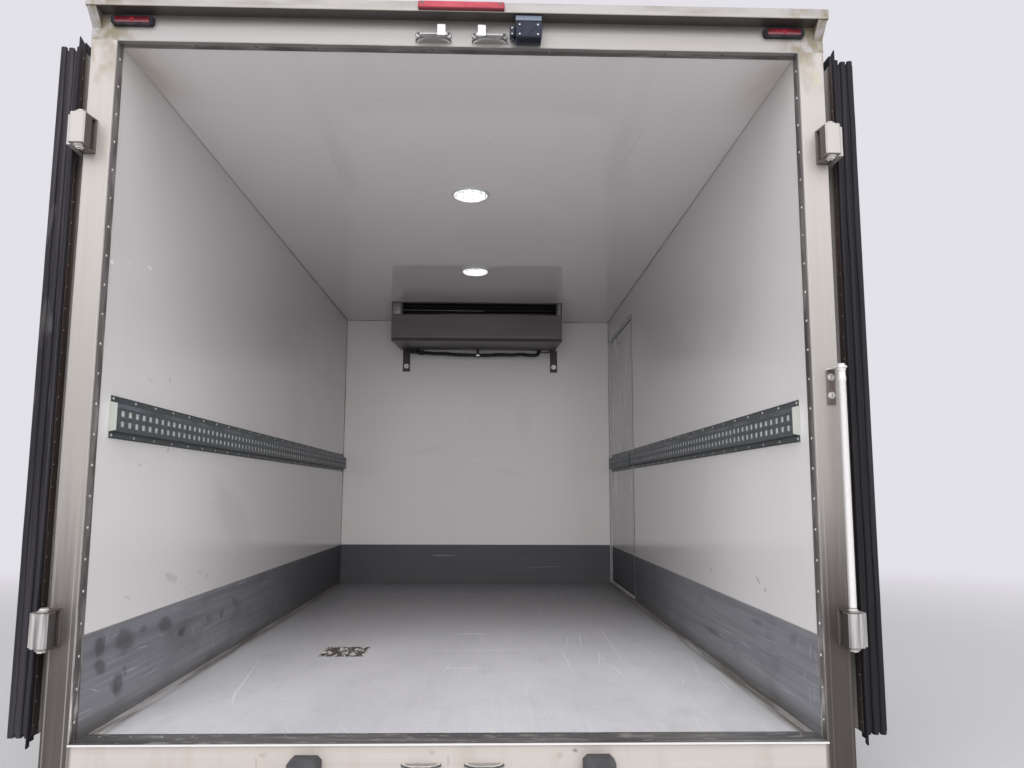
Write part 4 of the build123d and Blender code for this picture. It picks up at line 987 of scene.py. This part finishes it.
shape = Shape()
nuts = Shape()
for side in (-1, 1):
    x, y = side * hinge_pin[0], hinge_pin[1]
    for low, high in bracket_spans:
        # The pins' heads take up both ends of the bracket
        low, high = low + pin_head, high - pin_head
        shape.block((side * web_inner, frame_y, low), (side * web_outer, frame_y - web_thickness, high),
                    0.0012)
        ear = [(side * web_inner, frame_y), (side * web_outer, frame_y)]
        ear += [(x + side * out, y + back) for out, back in ear_outline]
        for base in (low, high - ear_thickness):
            shape.cut(ear, 2, base, base + ear_thickness, 0.0008)
        nuts.turned((x, y, high - 0.001), (0, 0, 1), (
            (0.0165, 0), (0.0165, 0.0035), (0.014, 0.004), (0.0125, 0.0075), (0.0075, 0.0098), (0, 0.01)))
        nuts.disc((x, y, low + 0.001), (0, 0, -1), 0.0170, 0.003)
        nuts.turned((x, y, low - 0.002), (0, 0, -1), (
            (0.014, 0), (0.014, 0.0045), (0.012, 0.0055), (0, 0.0055)), 6)
        nuts.turned((x, y, low - 0.0075), (0, 0, -1), ((0.006, 0), (0.005, 0.0015), (0, 0.0015)), 12)
        nuts.disc((x, y, low), (0, 0, 1), pin_radius, high - low)
shape.piece("hinge_ears", hinge_steel, "box", "stainless", ("hinge_brackets",))
polished = Finish("polished_steel", (0.80, 0.785, 0.765), 0.20, 0.8)
polished.stain((0.42, 0.4, 0.38), 0.6, (40, 40, 40), 0.45, 0.7)
nuts.piece("hinge_pins", polished, "box", "stainless", ("hinge_brackets",))


# Grab bar: a bright tube on the line of the right-hand hinge pins, from the lower hinge up to a tab
# on its own bracket, which two bolts hold to the post
bar_radius = 0.0125
bar_top = 1.545
bar_foot = 0.758
tab_thickness = 0.006
# Rings near the top of the bar, as how far each point stands out of the tube and lies below the tab's top
bar_rings = ((0, 0.050), (0.0012, 0.048), (0.0012, 0.036), (0, 0.034), (0, 0.016), (0.002, 0.014),
             (0.002, tab_thickness), (-bar_radius, tab_thickness))
bar_steel = steel_finish("bar_steel", (0.74, 0.73, 0.72), (120, 120, 1.2), 0.26, 0.5, 0.12)
shape = Shape()
x, y = hinge_pin
shape.turned((x, y, bar_foot), (0, 0, 1), ((bar_radius, 0), *[
    (bar_radius + out, bar_top - below - bar_foot) for out, below in bar_rings]), 24)
shape.cut(((web_inner, frame_y), (web_inner + 0.030, frame_y), (x + 0.019, y + 0.010), (x + 0.014, y - 0.014),
           (x, y - 0.0195), (x - 0.014, y - 0.014), (x - 0.019, y)), 2, bar_top - tab_thickness, bar_top,
          0.0006)
shape.turned((x, y, bar_top), (0, 0, 1), ((0.0125, 0), (0.0125, 0.0075), (0.0105, 0.009), (0, 0.009)), 20)
shape.piece("grab_bar_tube", bar_steel, "box", "stainless", ("grab_bar",))
shape = Shape()
shape.block((web_inner, frame_y, bar_top - 0.124),
            (web_inner + 0.030, frame_y - tab_thickness, bar_top - tab_thickness), 0.001)
shape.piece("grab_bar_bracket", hinge_steel, "box", "stainless", ("grab_bar",))
shape = Shape()
for z in (bar_top - 0.030, bar_top - 0.092):
    shape.disc((web_inner + 0.014, frame_y - tab_thickness, z), (0, -1, 0), 0.0125, 0.0022)
    shape.turned((web_inner + 0.014, frame_y - 0.008, z), (0, -1, 0),
                 ((0.0085, 0), (0.0085, 0.004), (0.006, 0.0062), (0, 0.0066)), 16)
shape.piece("grab_bar_bolts", polished, "box", "stainless")


# Lock bars of the doors: stainless tube in riveted guides, with cast cams and a folding handle. The
# tube is turned smooth over the plain bar, and bolts hold the hinge blades.
door_steel = steel_finish("door_steel", (0.72, 0.70, 0.68), (160, 160, 3), 0.30, 0.8, 0.2)
dress(door_steel, "left_door_lock_bar", "right_door_lock_bar", "side_door_lock_bar",
      "side_door_hinge_blades", "side_hinge_brackets")
lock_bar_x = 1.3110
lock_bar_y = -1.672
lock_bar_radius = 0.0139
blade_heights = (0.688, 2.335)
bolt_pitch = 0.064
for side, door in ((-1, "left_door"), (1, "right_door")):
    low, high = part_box(door + "_lock_bar")
    shape = Shape()
    shape.disc((side * lock_bar_x, lock_bar_y, low.z + 0.016), (0, 0, 1), lock_bar_radius,
               high.z - low.z - 0.032, 28)
    shape.piece(door + "_lock_tube", door_steel, door, "stainless")
    x = side * lock_bar_x
    rows = [((x, y, z - bolt_pitch / 2), (x, y, z + bolt_pitch / 2), (-side, 0, 0))
            for z in blade_heights for y in (-2.50, -2.42)]
    fixings(door + "_blade_bolts", bolt_tree, rows, polished, door, "stainless", bolt_pitch, 0.0075, 0.006)


# Lock keepers: a polished plate bolted to the frame, a boat-shaped tray that guides the cam, and a
# pin with a white plastic block on it. Two stand on the header and two on the sill.
keeper_x = 0.100
keeper_half = 0.063
keeper_reach = 0.038
# Edges of the door opening over and under it, and the way out from each
keeper_edges = ((2.705, 1), (0.268, -1))
# Outline of a tray, as shares of its half width and its reach
tray_outline = ((-1, 0), (1, 0), (1, -0.26), (0.80, -0.66), (0.46, -1), (-0.46, -1), (-0.80, -0.66),
                (-1, -0.26))
tray_steel = Finish("tray_steel", (0.80, 0.79, 0.775), 0.24, 0.6)
tray_steel.stain((0.4, 0.385, 0.37), 0.7, (30, 60, 30), 0.42, 0.62, 4.0)
block_white = Finish("block_white", (0.74, 0.72, 0.72), 0.45)
block_white.stain((0.5, 0.48, 0.48), 0.5, (90, 30, 90), 0.5, 0.6)
rim_dark = Finish("rim_dark", (0.05, 0.048, 0.048), 0.5)
rim_dark.stain((0.1, 0.095, 0.09), 0.8, (60, 60, 60))
tray_painted_shade = steel_finish("tray_painted_shade", (0.27, 0.255, 0.245), (60, 160, 60), 0.4, 0.4, 0.3)
trays, hollows, pins, blocks, rims = Shape(), Shape(), Shape(), Shape(), Shape()
for side in (-1, 1):
    x = side * keeper_x
    for edge, away in keeper_edges:
        far = edge + away * 0.040
        pin_z = edge + away * 0.024
        pin_y = frame_y - 0.019
        bottom, top = sorted((edge + away * 0.004, far))
        trays.block((x - keeper_half + 0.006, frame_y, bottom),
                    (x + keeper_half - 0.006, frame_y - 0.003, top), 0.001)
        # Tray: a dark rim, a bright band inside it and a middle darkened as painted shade, each a little
        # nearer to the opening, and a second rim over the first
        for half, reach, start, end, rounding, group in (
                (keeper_half, keeper_reach, 0.0012, 0.0048, 0.0002, rims),
                (0.955 * keeper_half, 0.93 * keeper_reach, 0.0006, 0.0030, 0.0002, trays),
                (0.84 * keeper_half, 0.66 * keeper_reach, 0.0002, 0.0024, 0.0002, hollows),
                (keeper_half + 0.0006, keeper_reach - 0.0002, 0.0042, 0.0066, 0.0, rims)):
            group.cut([(x + one * half, frame_y + two * reach) for one, two in tray_outline], 2,
                      *sorted((edge + away * start, edge + away * end)), rounding)
        for end in (-1, 1):
            # Bolt with its washer at each end of the plate. A dark disc under the washer is painted shade
            # round it, and a dark disc in its socket is painted shade.
            bolt = (x + end * 0.052, frame_y - 0.003, edge + away * 0.027)
            rims.disc(bolt, (0, -1, 0), 0.0128, 0.0010, 18)
            pins.turned(bolt, (0, -1, 0), ((0.0105, 0), (0.0105, 0.0022), (0.008, 0.0022), (0.008, 0.007),
                                           (0.0055, 0.0085), (0.0048, 0.006), (0, 0.006)), 18)
            rims.turned((bolt[0], frame_y - 0.0088, bolt[2]), (0, -1, 0),
                        ((0.0056, 0), (0.0048, 0.0006), (0, 0.0006)), 12)
        # Pin between its eyes, and a knob at the end away from the block
        pins.disc((x - side * 0.046, pin_y, pin_z), (side, 0, 0), 0.0055, 0.090, 14)
        pins.block((x - side * 0.050, frame_y, pin_z - 0.007),
                   (x - side * 0.042, pin_y - 0.006, pin_z + 0.007), 0.0015)
        pins.turned((x + side * 0.036, pin_y, pin_z), (side, 0, 0),
                    ((0.005, 0.0005), (0.0085, 0.004), (0.0085, 0.009), (0.005, 0.0125), (0, 0.013)), 14)
        sleeve = x - side * 0.0285
        low, high = sorted((pin_z - away * 0.008, pin_z + away * 0.034))
        blocks.block((sleeve - 0.0145, pin_y - 0.008, low), (sleeve + 0.0145, pin_y + 0.008, high), 0.003, 3)
trays.piece("keeper_trays", tray_steel, "box", "stainless", ("lock_keepers",))
hollows.piece("keeper_hollows", tray_painted_shade, "box", "stainless", ("lock_keepers",))
pins.piece("keeper_pins", polished, "box", "stainless", ("lock_keepers",))
blocks.piece("keeper_blocks", block_white, "box", "lamp_white", ("lock_keepers",))
rims.piece("keeper_rims", rim_dark, "box", "black_plastic", ("lock_keepers",))


# Lamps of the rear frame. The markers are red lenses in black rubber housings, each with a round
# reflector in its middle. The strip lamp on the canopy is one matt red moulding on two screws.
black_plastic = Finish("black_plastic", (0.010, 0.0105, 0.014), 0.40)
feed(black_plastic.shader.inputs["Specular IOR Level"], 0.2)
black_plastic.stain((0.03, 0.03, 0.036), 0.7, (60, 60, 60))
dress(black_plastic, "marker_lamps")
lens_red = Finish("lens_red", (0.060, 0.003, 0.007), 0.25)
feed(lens_red.shader.inputs["Specular IOR Level"], 0.3)
lens_red.stain((0.13, 0.005, 0.011), 0.8, (22, 9, 30), 0.42, 0.62)
# Pale dust along the foot of the lens
lens_red.coat((0.16, 0.06, 0.068), 0.85, z=(2.759, 2.757))
lens_red.relief(lens_red.drift((400, 10, 30), 0.3, 0.7), 0.0003)
marker_low, marker_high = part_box("marker_lamps")
marker_z = (marker_low.z + marker_high.z) / 2
marker_x = 1.155
lens_half, lens_half_height = 0.060, 0.0115
lenses, discs = Shape(), Shape()
for side in (-1, 1):
    x = side * marker_x
    lenses.block((x - lens_half, marker_low.y - 0.0035, marker_z - lens_half_height),
                 (x + lens_half, marker_low.y + 0.002, marker_z + lens_half_height), 0.003, 3)
    discs.turned((x, marker_low.y - 0.0034, marker_z), (0, -1, 0),
                 ((0.0085, 0), (0.0075, 0.0012), (0, 0.002)), 18)
lenses.piece("marker_lenses", lens_red, "box", "red_lens", sharp=50)
reflector = Finish("reflector_red", (0.20, 0.004, 0.010), 0.12)
reflector.stain((0.12, 0.003, 0.006), 0.8, (300, 300, 300))
discs.piece("marker_reflectors", reflector, "box", "red_lens")

strip_red = Finish("strip_red", (0.27, 0.026, 0.043), 0.42)
strip_red.stain((0.38, 0.06, 0.08), 0.7, (12, 9, 40), 0.4, 0.7)
# Shaded along its lower edge
strip_red.coat((0.1, 0.006, 0.012), 0.9, z=(2.7975, 2.7945))
low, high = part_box("high_level_lamp")
shape = Shape()
shape.block(low, high, 0.006, 4)
shape.piece("strip_lamp", strip_red, "box", "red_lens", ("high_level_lamp",), 60)
shape = Shape()
for end in (-1, 1):
    shape.turned((end * 0.136, low.y + 0.0003, high.z - 0.009), (0, -1, 0),
                 ((0.0060, 0), (0.0050, 0.0012), (0, 0.0016)), 14)
shape.piece("strip_lamp_screws", rim_dark, "box", "black_plastic")


# Reversing camera: a black cast housing under a slanted visor, its face held by four screws and its
# cable plug on the left
low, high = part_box("reversing_camera")
left, right = 0.190, high.x
face_top = 2.757
camera_black = Finish("camera_black", (0.010, 0.012, 0.022), 0.22)
camera_black.stain((0.022, 0.026, 0.042), 0.6, (50, 50, 50))
# The slope of the visor is a paler blue-grey
camera_black.coat((0.14, 0.165, 0.21), 0.75, z=(face_top + 0.001, face_top + 0.004))
shape = Shape()
shape.block((left, frame_y, low.z), (right, low.y, face_top), 0.005, 3)
shape.cut(((frame_y, face_top), (low.y, face_top), (low.y + 0.016, high.z), (frame_y, high.z)), 0,
          left, right, 0.003, 2)
shape.block((low.x + 0.002, frame_y - 0.012, low.z + 0.012), (left, frame_y - 0.052, low.z + 0.048), 0.005,
            3)
middle = (left + right) / 2
shape.turned((middle, low.y + 0.001, low.z + 0.027), (0, -1, 0),
             ((0.017, 0), (0.0165, 0.0008), (0.012, 0.0008), (0.011, -0.004), (0, -0.003)), 28)
shape.piece("camera_housing", camera_black, "box", "black_plastic", ("reversing_camera",))
lens_glass = Finish("lens_glass", (0.02, 0.022, 0.04), 0.05)
lens_glass.stain((0.03, 0.03, 0.06), 0.5, (90, 90, 90))
shape = Shape()
shape.turned((middle, low.y + 0.003, low.z + 0.027), (0, -1, 0), ((0.009, 0), (0.006, 0.002), (0, 0.0026)),
             24)
shape.piece("camera_lens", lens_glass, "box", "black_plastic")
shape = Shape()
for x in (left + 0.014, right - 0.014):
    for z in (low.z + 0.010, low.z + 0.045):
        shape.turned((x, low.y + 0.0006, z), (0, -1, 0), ((0.0036, 0), (0.003, 0.0012), (0, 0.0014)), 14)
for z in (low.z + 0.018, low.z + 0.040):
    shape.turned((low.x + 0.010, frame_y - 0.051, z), (0, -1, 0), ((0.0036, 0), (0.003, 0.002), (0, 0.0022)),
                 14)
shape.piece("camera_screws", polished, "box", "stainless")


# Side door frame: pale coated aluminium with a dark rubber bead at its head and down its edge. Its
# foot is a little dirty.
frame_paint = Finish("frame_paint", (0.80, 0.79, 0.78), 0.30)
frame_paint.stain((0.66, 0.65, 0.63), 0.6, (5, 5, 2))
frame_paint.coat((0.5, 0.49, 0.48), 0.5, z=(0.75, 0.4))
dress(frame_paint, "side_door_frame")
low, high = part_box("side_door_frame")
shape = Shape()
for start, end, foot, head in ((low.y + 0.010, high.y, high.z - 0.004, high.z + 0.002),
                               (low.y - 0.003, low.y + 0.0015, low.z + 0.33, high.z + 0.002)):
    shape.block((low.x - 0.0015, start, foot), (low.x + 0.0002, end, head))
shape.piece("side_door_bead", rim_dark, "box", "seal_rubber")


# Ceiling lamps: round white lamps, lit. The clear cover shows the light as a scatter of small bright
# points, and a rim holds it.
lamp_ys = (-1.099, 0.441)
cover = Finish("lamp_cover", (0.45, 0.50, 0.47), 0.25)
points = build(cover.tree, "ShaderNodeTexVoronoi", feature="F1", Vector=cover.place, Scale=85,
               Randomness=0.6)
lit = build(cover.tree, "ShaderNodeMapRange", Value=points.outputs["Distance"], From_Min=0.62,
            From_Max=0.30, To_Min=0.10, To_Max=1.0).outputs["Result"]
glow = build(cover.tree, "ShaderNodeMix", lit, data_type="RGBA")
feed(glow.inputs[6], (0.10, 0.10, 0.105))
feed(glow.inputs[7], (1.0, 1.0, 1.0))
feed(cover.shader.inputs["Emission Color"], glow.outputs[2])
feed(cover.shader.inputs["Emission Strength"], 1.7)
cover.coat((1.0, 1.0, 1.0), 0.8, mask=lit)
rim_white = Finish("lamp_rim", (0.60, 0.62, 0.60), 0.35)
rim_white.stain((0.5, 0.51, 0.5), 0.5, (30, 30, 30))
covers, rings = Shape(), Shape()
for y in lamp_ys:
    covers.turned((0, y, ceiling_z - 0.005), (0, 0, -1),
                  ((0.088, 0), (0.088, 0.007), (0.074, 0.014), (0, 0.0175)), 48)
    rings.turned((0, y, ceiling_z), (0, 0, -1),
                 ((0.099, 0), (0.099, 0.006), (0.096, 0.0095), (0.0895, 0.0095), (0.0885, 0.007),
                  (0, 0.0045)), 48)
covers.piece("lamp_covers", cover, "box", "lamp_white", ("ceiling_lamps",))
rings.piece("lamp_rings", rim_white, "box", "lamp_white", ("ceiling_lamps",))


# Evaporator: a brushed grey metal housing that hangs under the ceiling on the front wall. Its outlet
# is black inside, end plates close the corners of its face, and two legs bolt it to the wall.
evaporator_grey = (0.128, 0.113, 0.110)
leg_bolts = (-0.656, 0.699)
leg_bolt_z = 2.268
flange_bolt_x, flange_bolt_z = 0.71, 2.66
evaporator = Finish("evaporator_metal", evaporator_grey, 0.40, 0.55)
evaporator.stain((0.165, 0.148, 0.143), 0.45, (1.0, 60, 70), 0.35, 0.75, 5.0)
evaporator.stain((0.1, 0.09, 0.088), 0.5, (2.0, 2, 3), 0.45, 0.7)
pan_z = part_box("evaporator_housing")[0].z
# Painted shade on the underside of the housing, behind its lower edge
evaporator.coat((0.075, 0.066, 0.064), 0.9, z=(pan_z + 0.062, pan_z + 0.056), y=(1.44, 1.462))
dress(evaporator, "evaporator_housing", "evaporator_brackets")
low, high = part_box("evaporator_housing")
outlet_low, outlet_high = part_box("evaporator_louvres")
outlet_black = Finish("outlet_black", (0.006, 0.006, 0.007), 0.40)
feed(outlet_black.shader.inputs["Specular IOR Level"], 0.2)
outlet_black.stain((0.012, 0.012, 0.015), 0.7, (3, 40, 40))
dress(outlet_black, "evaporator_louvres")
# The well behind the slats is lined black: its back, floor and head
wall = 0.0015
wall_gap = 0.0004
inner_y = outlet_low.y + 0.088
shape = Shape()
shape.block((outlet_low.x + 0.001, inner_y, outlet_low.z + 0.001),
            (outlet_high.x - 0.001, inner_y + wall, outlet_high.z - 0.001))
for z in (outlet_low.z + wall_gap, outlet_high.z - wall_gap - wall):
    shape.block((outlet_low.x + wall_gap, outlet_low.y + 0.046, z),
                (outlet_high.x - wall_gap, inner_y, z + wall))
shape.piece("outlet_lining", outlet_black, "box", "black_plastic")
lip_bright = Finish("outlet_lip", (0.60, 0.58, 0.56), 0.25, 0.9)
lip_bright.stain((0.16, 0.15, 0.15), 0.9, (2.5, 9, 9), 0.35, 0.6)
upper_lip = [(x, low.y - 0.0005, outlet_low.z + rise) for x, rise in (
    (outlet_low.x + 0.010, 0.0365), (-0.35, 0.0345), (0.05, 0.0325))]
lower_lip = [(x, low.y + 0.0015, outlet_low.z + 0.004) for x in (-0.32, outlet_high.x - 0.012)]
tube("outlet_lips", (upper_lip, lower_lip), 0.0017, lip_bright, "box")
shape, gaskets = Shape(), Shape()
for start, end in ((low.x + 0.004, outlet_low.x - 0.010), (outlet_high.x + 0.006, high.x - 0.004)):
    gaskets.block((start, low.y, outlet_low.z - 0.004), (end, low.y - 0.0016, high.z - 0.001))
    shape.block((start + 0.007, low.y, outlet_low.z + 0.003), (end - 0.007, low.y - 0.003, high.z - 0.008),
                0.0008)
gaskets.block((low.x, low.y + 0.004, high.z - 0.004), (high.x, low.y - 0.0008, high.z - 0.0002))
end_metal = Finish("evaporator_ends", (0.32, 0.295, 0.29), 0.34, 0.6)
end_metal.stain((0.14, 0.125, 0.12), 0.6, (3, 30, 40), 0.35, 0.7)
shape.piece("evaporator_end_plates", end_metal, "box", "evaporator_grey")
gaskets.piece("evaporator_gaskets", rim_dark, "box", "black_plastic")
shape = Shape()
for x in leg_bolts:
    shape.disc((x, front_y - 0.008, leg_bolt_z), (0, -1, 0), 0.022, 0.0025, 24)
    shape.turned((x, front_y - 0.0105, leg_bolt_z), (0, -1, 0),
                 ((0.012, 0), (0.012, 0.007), (0.010, 0.0085), (0, 0.0085)), 6)
for side in (-1, 1):
    for y in (low.y + 0.15, low.y + 0.45):
        shape.turned((side * flange_bolt_x, y, flange_bolt_z), (side, 0, 0),
                     ((0.007, 0), (0.005, 0.003), (0, 0.0035)), 14)
shape.piece("evaporator_bolts", polished, "box", "stainless")


# Drain hose of the evaporator, black rubber. It leaves the pan at the left, lies wavy along its edge,
# passes a bright clip in the middle and goes back up at the right. Cable ties hold it.
hose_y = front_y - 0.090
hose_level = 2.360
hose_radius = 0.0155
hose_black = Finish("hose_rubber", (0.010, 0.010, 0.012), 0.45)
hose_black.stain((0.03, 0.03, 0.032), 0.6, (20, 20, 20))
# Each row is a place across the body and a height over the hose's level
hose_route = ((-0.621, 0.056), (-0.621, 0.036), (-0.603, 0.026), (-0.560, 0.030), (-0.520, 0.013),
              (-0.470, 0.022), (-0.400, 0.012), (-0.310, 0.016), (-0.220, 0.005), (-0.120, 0.004),
              (0.0, 0.000), (0.110, 0.002), (0.210, 0.010), (0.300, 0.004), (0.390, 0.014), (0.470, 0.004),
              (0.530, 0.004), (0.556, 0.016), (0.556, 0.052))
hose = tube("drain_hose", [[(x, hose_y, hose_level + rise) for x, rise in hose_route]], hose_radius,
            hose_black, "box", True)
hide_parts("evaporator_hose")
# Two short cables beside it. Each point is a place across, how far behind the hose it lies and its height.
cable_radius = 0.006
cables = (((0.575, 0.030, 2.405), (0.590, 0.030, 2.392), (0.625, 0.035, 2.397), (0.655, 0.040, 2.398),
           (0.672, 0.050, 2.415)),
          ((-0.610, 0.030, 2.412), (-0.585, 0.030, 2.398), (-0.550, 0.030, 2.412), (-0.515, 0.030, 2.396),
           (-0.490, 0.030, 2.411)))
tube("evaporator_cables", [[(x, hose_y + back, z) for x, back, z in cable] for cable in cables], cable_radius,
     hose_black, "box", True)
shape = Shape()
for x, rise in ((-0.45, 0.019), (-0.27, 0.010), (0.16, 0.006), (0.43, 0.009)):
    shape.disc((x - 0.004, hose_y, hose_level + rise), (1, 0, 0), 0.0175, 0.008, 16)
shape.piece("hose_ties", outlet_black, "box", "black_plastic")
shape = Shape()
shape.disc((-0.016, hose_y, hose_level), (1, 0, 0), 0.0235, 0.032, 24)
shape.turned((0, hose_y - 0.022, hose_level + 0.008), (0, -1, 0), ((0.007, 0), (0.005, 0.004), (0, 0.005)),
             12)
shape.piece("hose_clip", polished, "box", "stainless")


# Condenser unit on the front wall: a white moulded housing with seams, screws and side slots. Its two
# fans turn behind round guards of wire rings in black plates.
unit_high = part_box("condenser_housing")[1]
fan_x = 0.400
fan_z = (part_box("fan_guards")[0].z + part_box("fan_guards")[1].z) / 2
seam_grey = (0.16, 0.16, 0.16)
guard_half = 0.2145
guard_opening = 0.203
guard_faces = (2.6535, 2.6605)
guard_y = 2.657
quarter_steps = 12
slat_count = 9
slat_pitch = 0.020
slat_ends = (2.40, 2.56)
unit_paint = panel_finish("unit_paint", 0.30, (3, 3, 1))
# One seam across and one down the middle, and dirt towards the foot
unit_paint.coat(seam_grey, 0.8, z=(2.348, 2.351, 0.0006))
unit_paint.coat(seam_grey, 0.8, x=(-0.0015, 0.0015, 0.0006))
unit_paint.stain((0.45, 0.43, 0.4), 0.5, (9, 9, 2), 0.4, 0.7, z=(2.05, 1.87))
dress(unit_paint, "condenser_housing")
fan_black = Finish("fan_plastic", (0.02, 0.02, 0.022), 0.42)
fan_black.stain((0.045, 0.044, 0.044), 0.7, (20, 20, 20))
dress(fan_black, "fan_rotor_left", "fan_rotor_right")

# Wire rings and spokes of the fan guards, on one guide point at each fan's middle
ring_tree, given, made = tree_nodes("guard_rings", Guide="Geometry", Rings="Int", Inner="Float",
                                    Step="Float", Spokes="Int", Wire="Float")
index = build(ring_tree, "GeometryNodeInputIndex")
# Rings: unit circles set on a row of points that all lie at the middle, each larger by one step
row = build(ring_tree, "GeometryNodeMeshLine", Count=given["Rings"], Offset=(0, 0, 0))
size = build(ring_tree, "ShaderNodeMath", index, given["Step"], given["Inner"], operation="MULTIPLY_ADD")
circle = build(ring_tree, "GeometryNodeCurvePrimitiveCircle", Resolution=48, Radius=1.0)
rings = build(ring_tree, "GeometryNodeInstanceOnPoints", Points=row, Instance=circle, Scale=size)
# Spokes: one straight wire turned round the middle
count = build(ring_tree, "ShaderNodeMath", given["Rings"], 1, operation="SUBTRACT")
reach = build(ring_tree, "ShaderNodeMath", count, given["Step"], given["Inner"], operation="MULTIPLY_ADD")
start, end = [build(ring_tree, "ShaderNodeCombineXYZ", X=length) for length in (given["Inner"], reach)]
spoke = build(ring_tree, "GeometryNodeCurvePrimitiveLine", Start=start, End=end)
turns = build(ring_tree, "GeometryNodeMeshLine", Count=given["Spokes"], Offset=(0, 0, 0))
share = build(ring_tree, "ShaderNodeMath", 2 * math.pi, given["Spokes"], operation="DIVIDE")
heading = build(ring_tree, "ShaderNodeCombineXYZ",
                Z=build(ring_tree, "ShaderNodeMath", index, share, operation="MULTIPLY"))
spokes = build(ring_tree, "GeometryNodeInstanceOnPoints", Points=turns, Instance=spoke, Rotation=heading)
joined = build(ring_tree, "GeometryNodeJoinGeometry", rings)
feed(joined.inputs[0], spokes)
real = build(ring_tree, "GeometryNodeRealizeInstances", Geometry=joined)
wire = build(ring_tree, "GeometryNodeCurvePrimitiveCircle", Resolution=6, Radius=given["Wire"])
drawn = build(ring_tree, "GeometryNodeCurveToMesh", Curve=real, Profile_Curve=wire)
upright = build(ring_tree, "GeometryNodeTransform", Geometry=drawn, Rotation=(math.pi / 2, 0, 0))
close_tree(ring_tree, build(ring_tree, "GeometryNodeInstanceOnPoints", Points=given["Guide"],
                            Instance=upright), given, made)

guards = grown("guard_wires", ring_tree, [(side * fan_x, guard_y, fan_z) for side in (-1, 1)], [],
               fan_black, "box", "fan_plastic", Rings=11, Inner=0.045, Step=0.0155, Spokes=8, Wire=0.0014)
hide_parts("fan_guards")
shape = Shape()
for side in (-1, 1):
    x = side * fan_x
    # A plate with a round opening, as four corner pieces between the square and the circle
    for quarter in range(4):
        angles = [(quarter + step / quarter_steps) * math.pi / 2 for step in range(quarter_steps + 1)]
        arc = [(x + guard_opening * math.cos(angle), fan_z + guard_opening * math.sin(angle))
               for angle in angles]
        start, end = [(round(math.cos(angle)), round(math.sin(angle))) for angle in (angles[0], angles[-1])]
        corner = (start[0] + end[0], start[1] + end[1])
        square = [(x + guard_half * across, fan_z + guard_half * up) for across, up in (start, corner, end)]
        shape.cut(square + arc[::-1], 1, *guard_faces)
    shape.turned((x, 2.6545, fan_z), (0, 1, 0), ((0.046, 0), (0.046, 0.003), (0.040, 0.006), (0, 0.006)), 32)
shape.piece("guard_plates", fan_black, "box", "fan_plastic", ("fan_guards",))
rows = [((side * unit_high.x, 2.36, z), (side * unit_high.x, 2.60, z), (side, 0, 0))
        for side in (-1, 1) for z in (2.00, 2.25)]
fixings("unit_screws", rivet_tree, rows, rivet_metal, "box", "stainless", 0.12, 0.007, 0.003)
shape = Shape()
for side in (-1, 1):
    for slat in range(slat_count):
        z = 2.04 + slat * slat_pitch
        face = side * unit_high.x
        shape.block((face, slat_ends[0], z), (face + side * 0.006, slat_ends[1], z + 0.004), 0.001, 1)
shape.piece("unit_slats", fan_black, "box", "fan_plastic")


# Steel frame under the floor, painted black: cross members welded on two long runners, with the
# bolts that would hold the body to a chassis. Buffers are bolted to the sill through their pads.
chassis_paint = Finish("chassis_paint", (0.045, 0.045, 0.05), 0.5)
# Dust, and rust that breaks through
chassis_paint.stain((0.13, 0.115, 0.1), 0.9, (4, 4, 4), 0.45, 0.75, 5.0)
chassis_paint.stain((0.2, 0.1, 0.055), 0.6, (16, 16, 16), 0.66, 0.7, 5.0)
dress(chassis_paint, "cross_members", "runners")
runner_low, runner_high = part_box("runners")
rows = [((side * runner_high.x, runner_low.y + 0.25, 0.11),
         (side * runner_high.x, runner_high.y - 0.25, 0.11), (side, 0, 0)) for side in (-1, 1)]
fixings("runner_bolts", bolt_tree, rows, chassis_paint, "box", "chassis_steel", 0.34, 0.011, 0.009)
buffer_low, buffer_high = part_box("buffers")
buffer_x = 0.464
buffer_rubber = Finish("buffer_rubber", (0.030, 0.030, 0.034), 0.55)
buffer_rubber.stain((0.075, 0.072, 0.075), 0.7, (20, 20, 20), 0.4, 0.7, 4.0)
dress(buffer_rubber, "buffers")
shape = Shape()
for side in (-1, 1):
    for z in (buffer_low.z + 0.04, buffer_high.z - 0.04):
        shape.disc((side * buffer_x, buffer_low.y + 0.001, z), (0, -1, 0), 0.012, 0.0008, 16)
shape.piece("buffer_bolts", rim_dark, "box", "buffer_rubber")
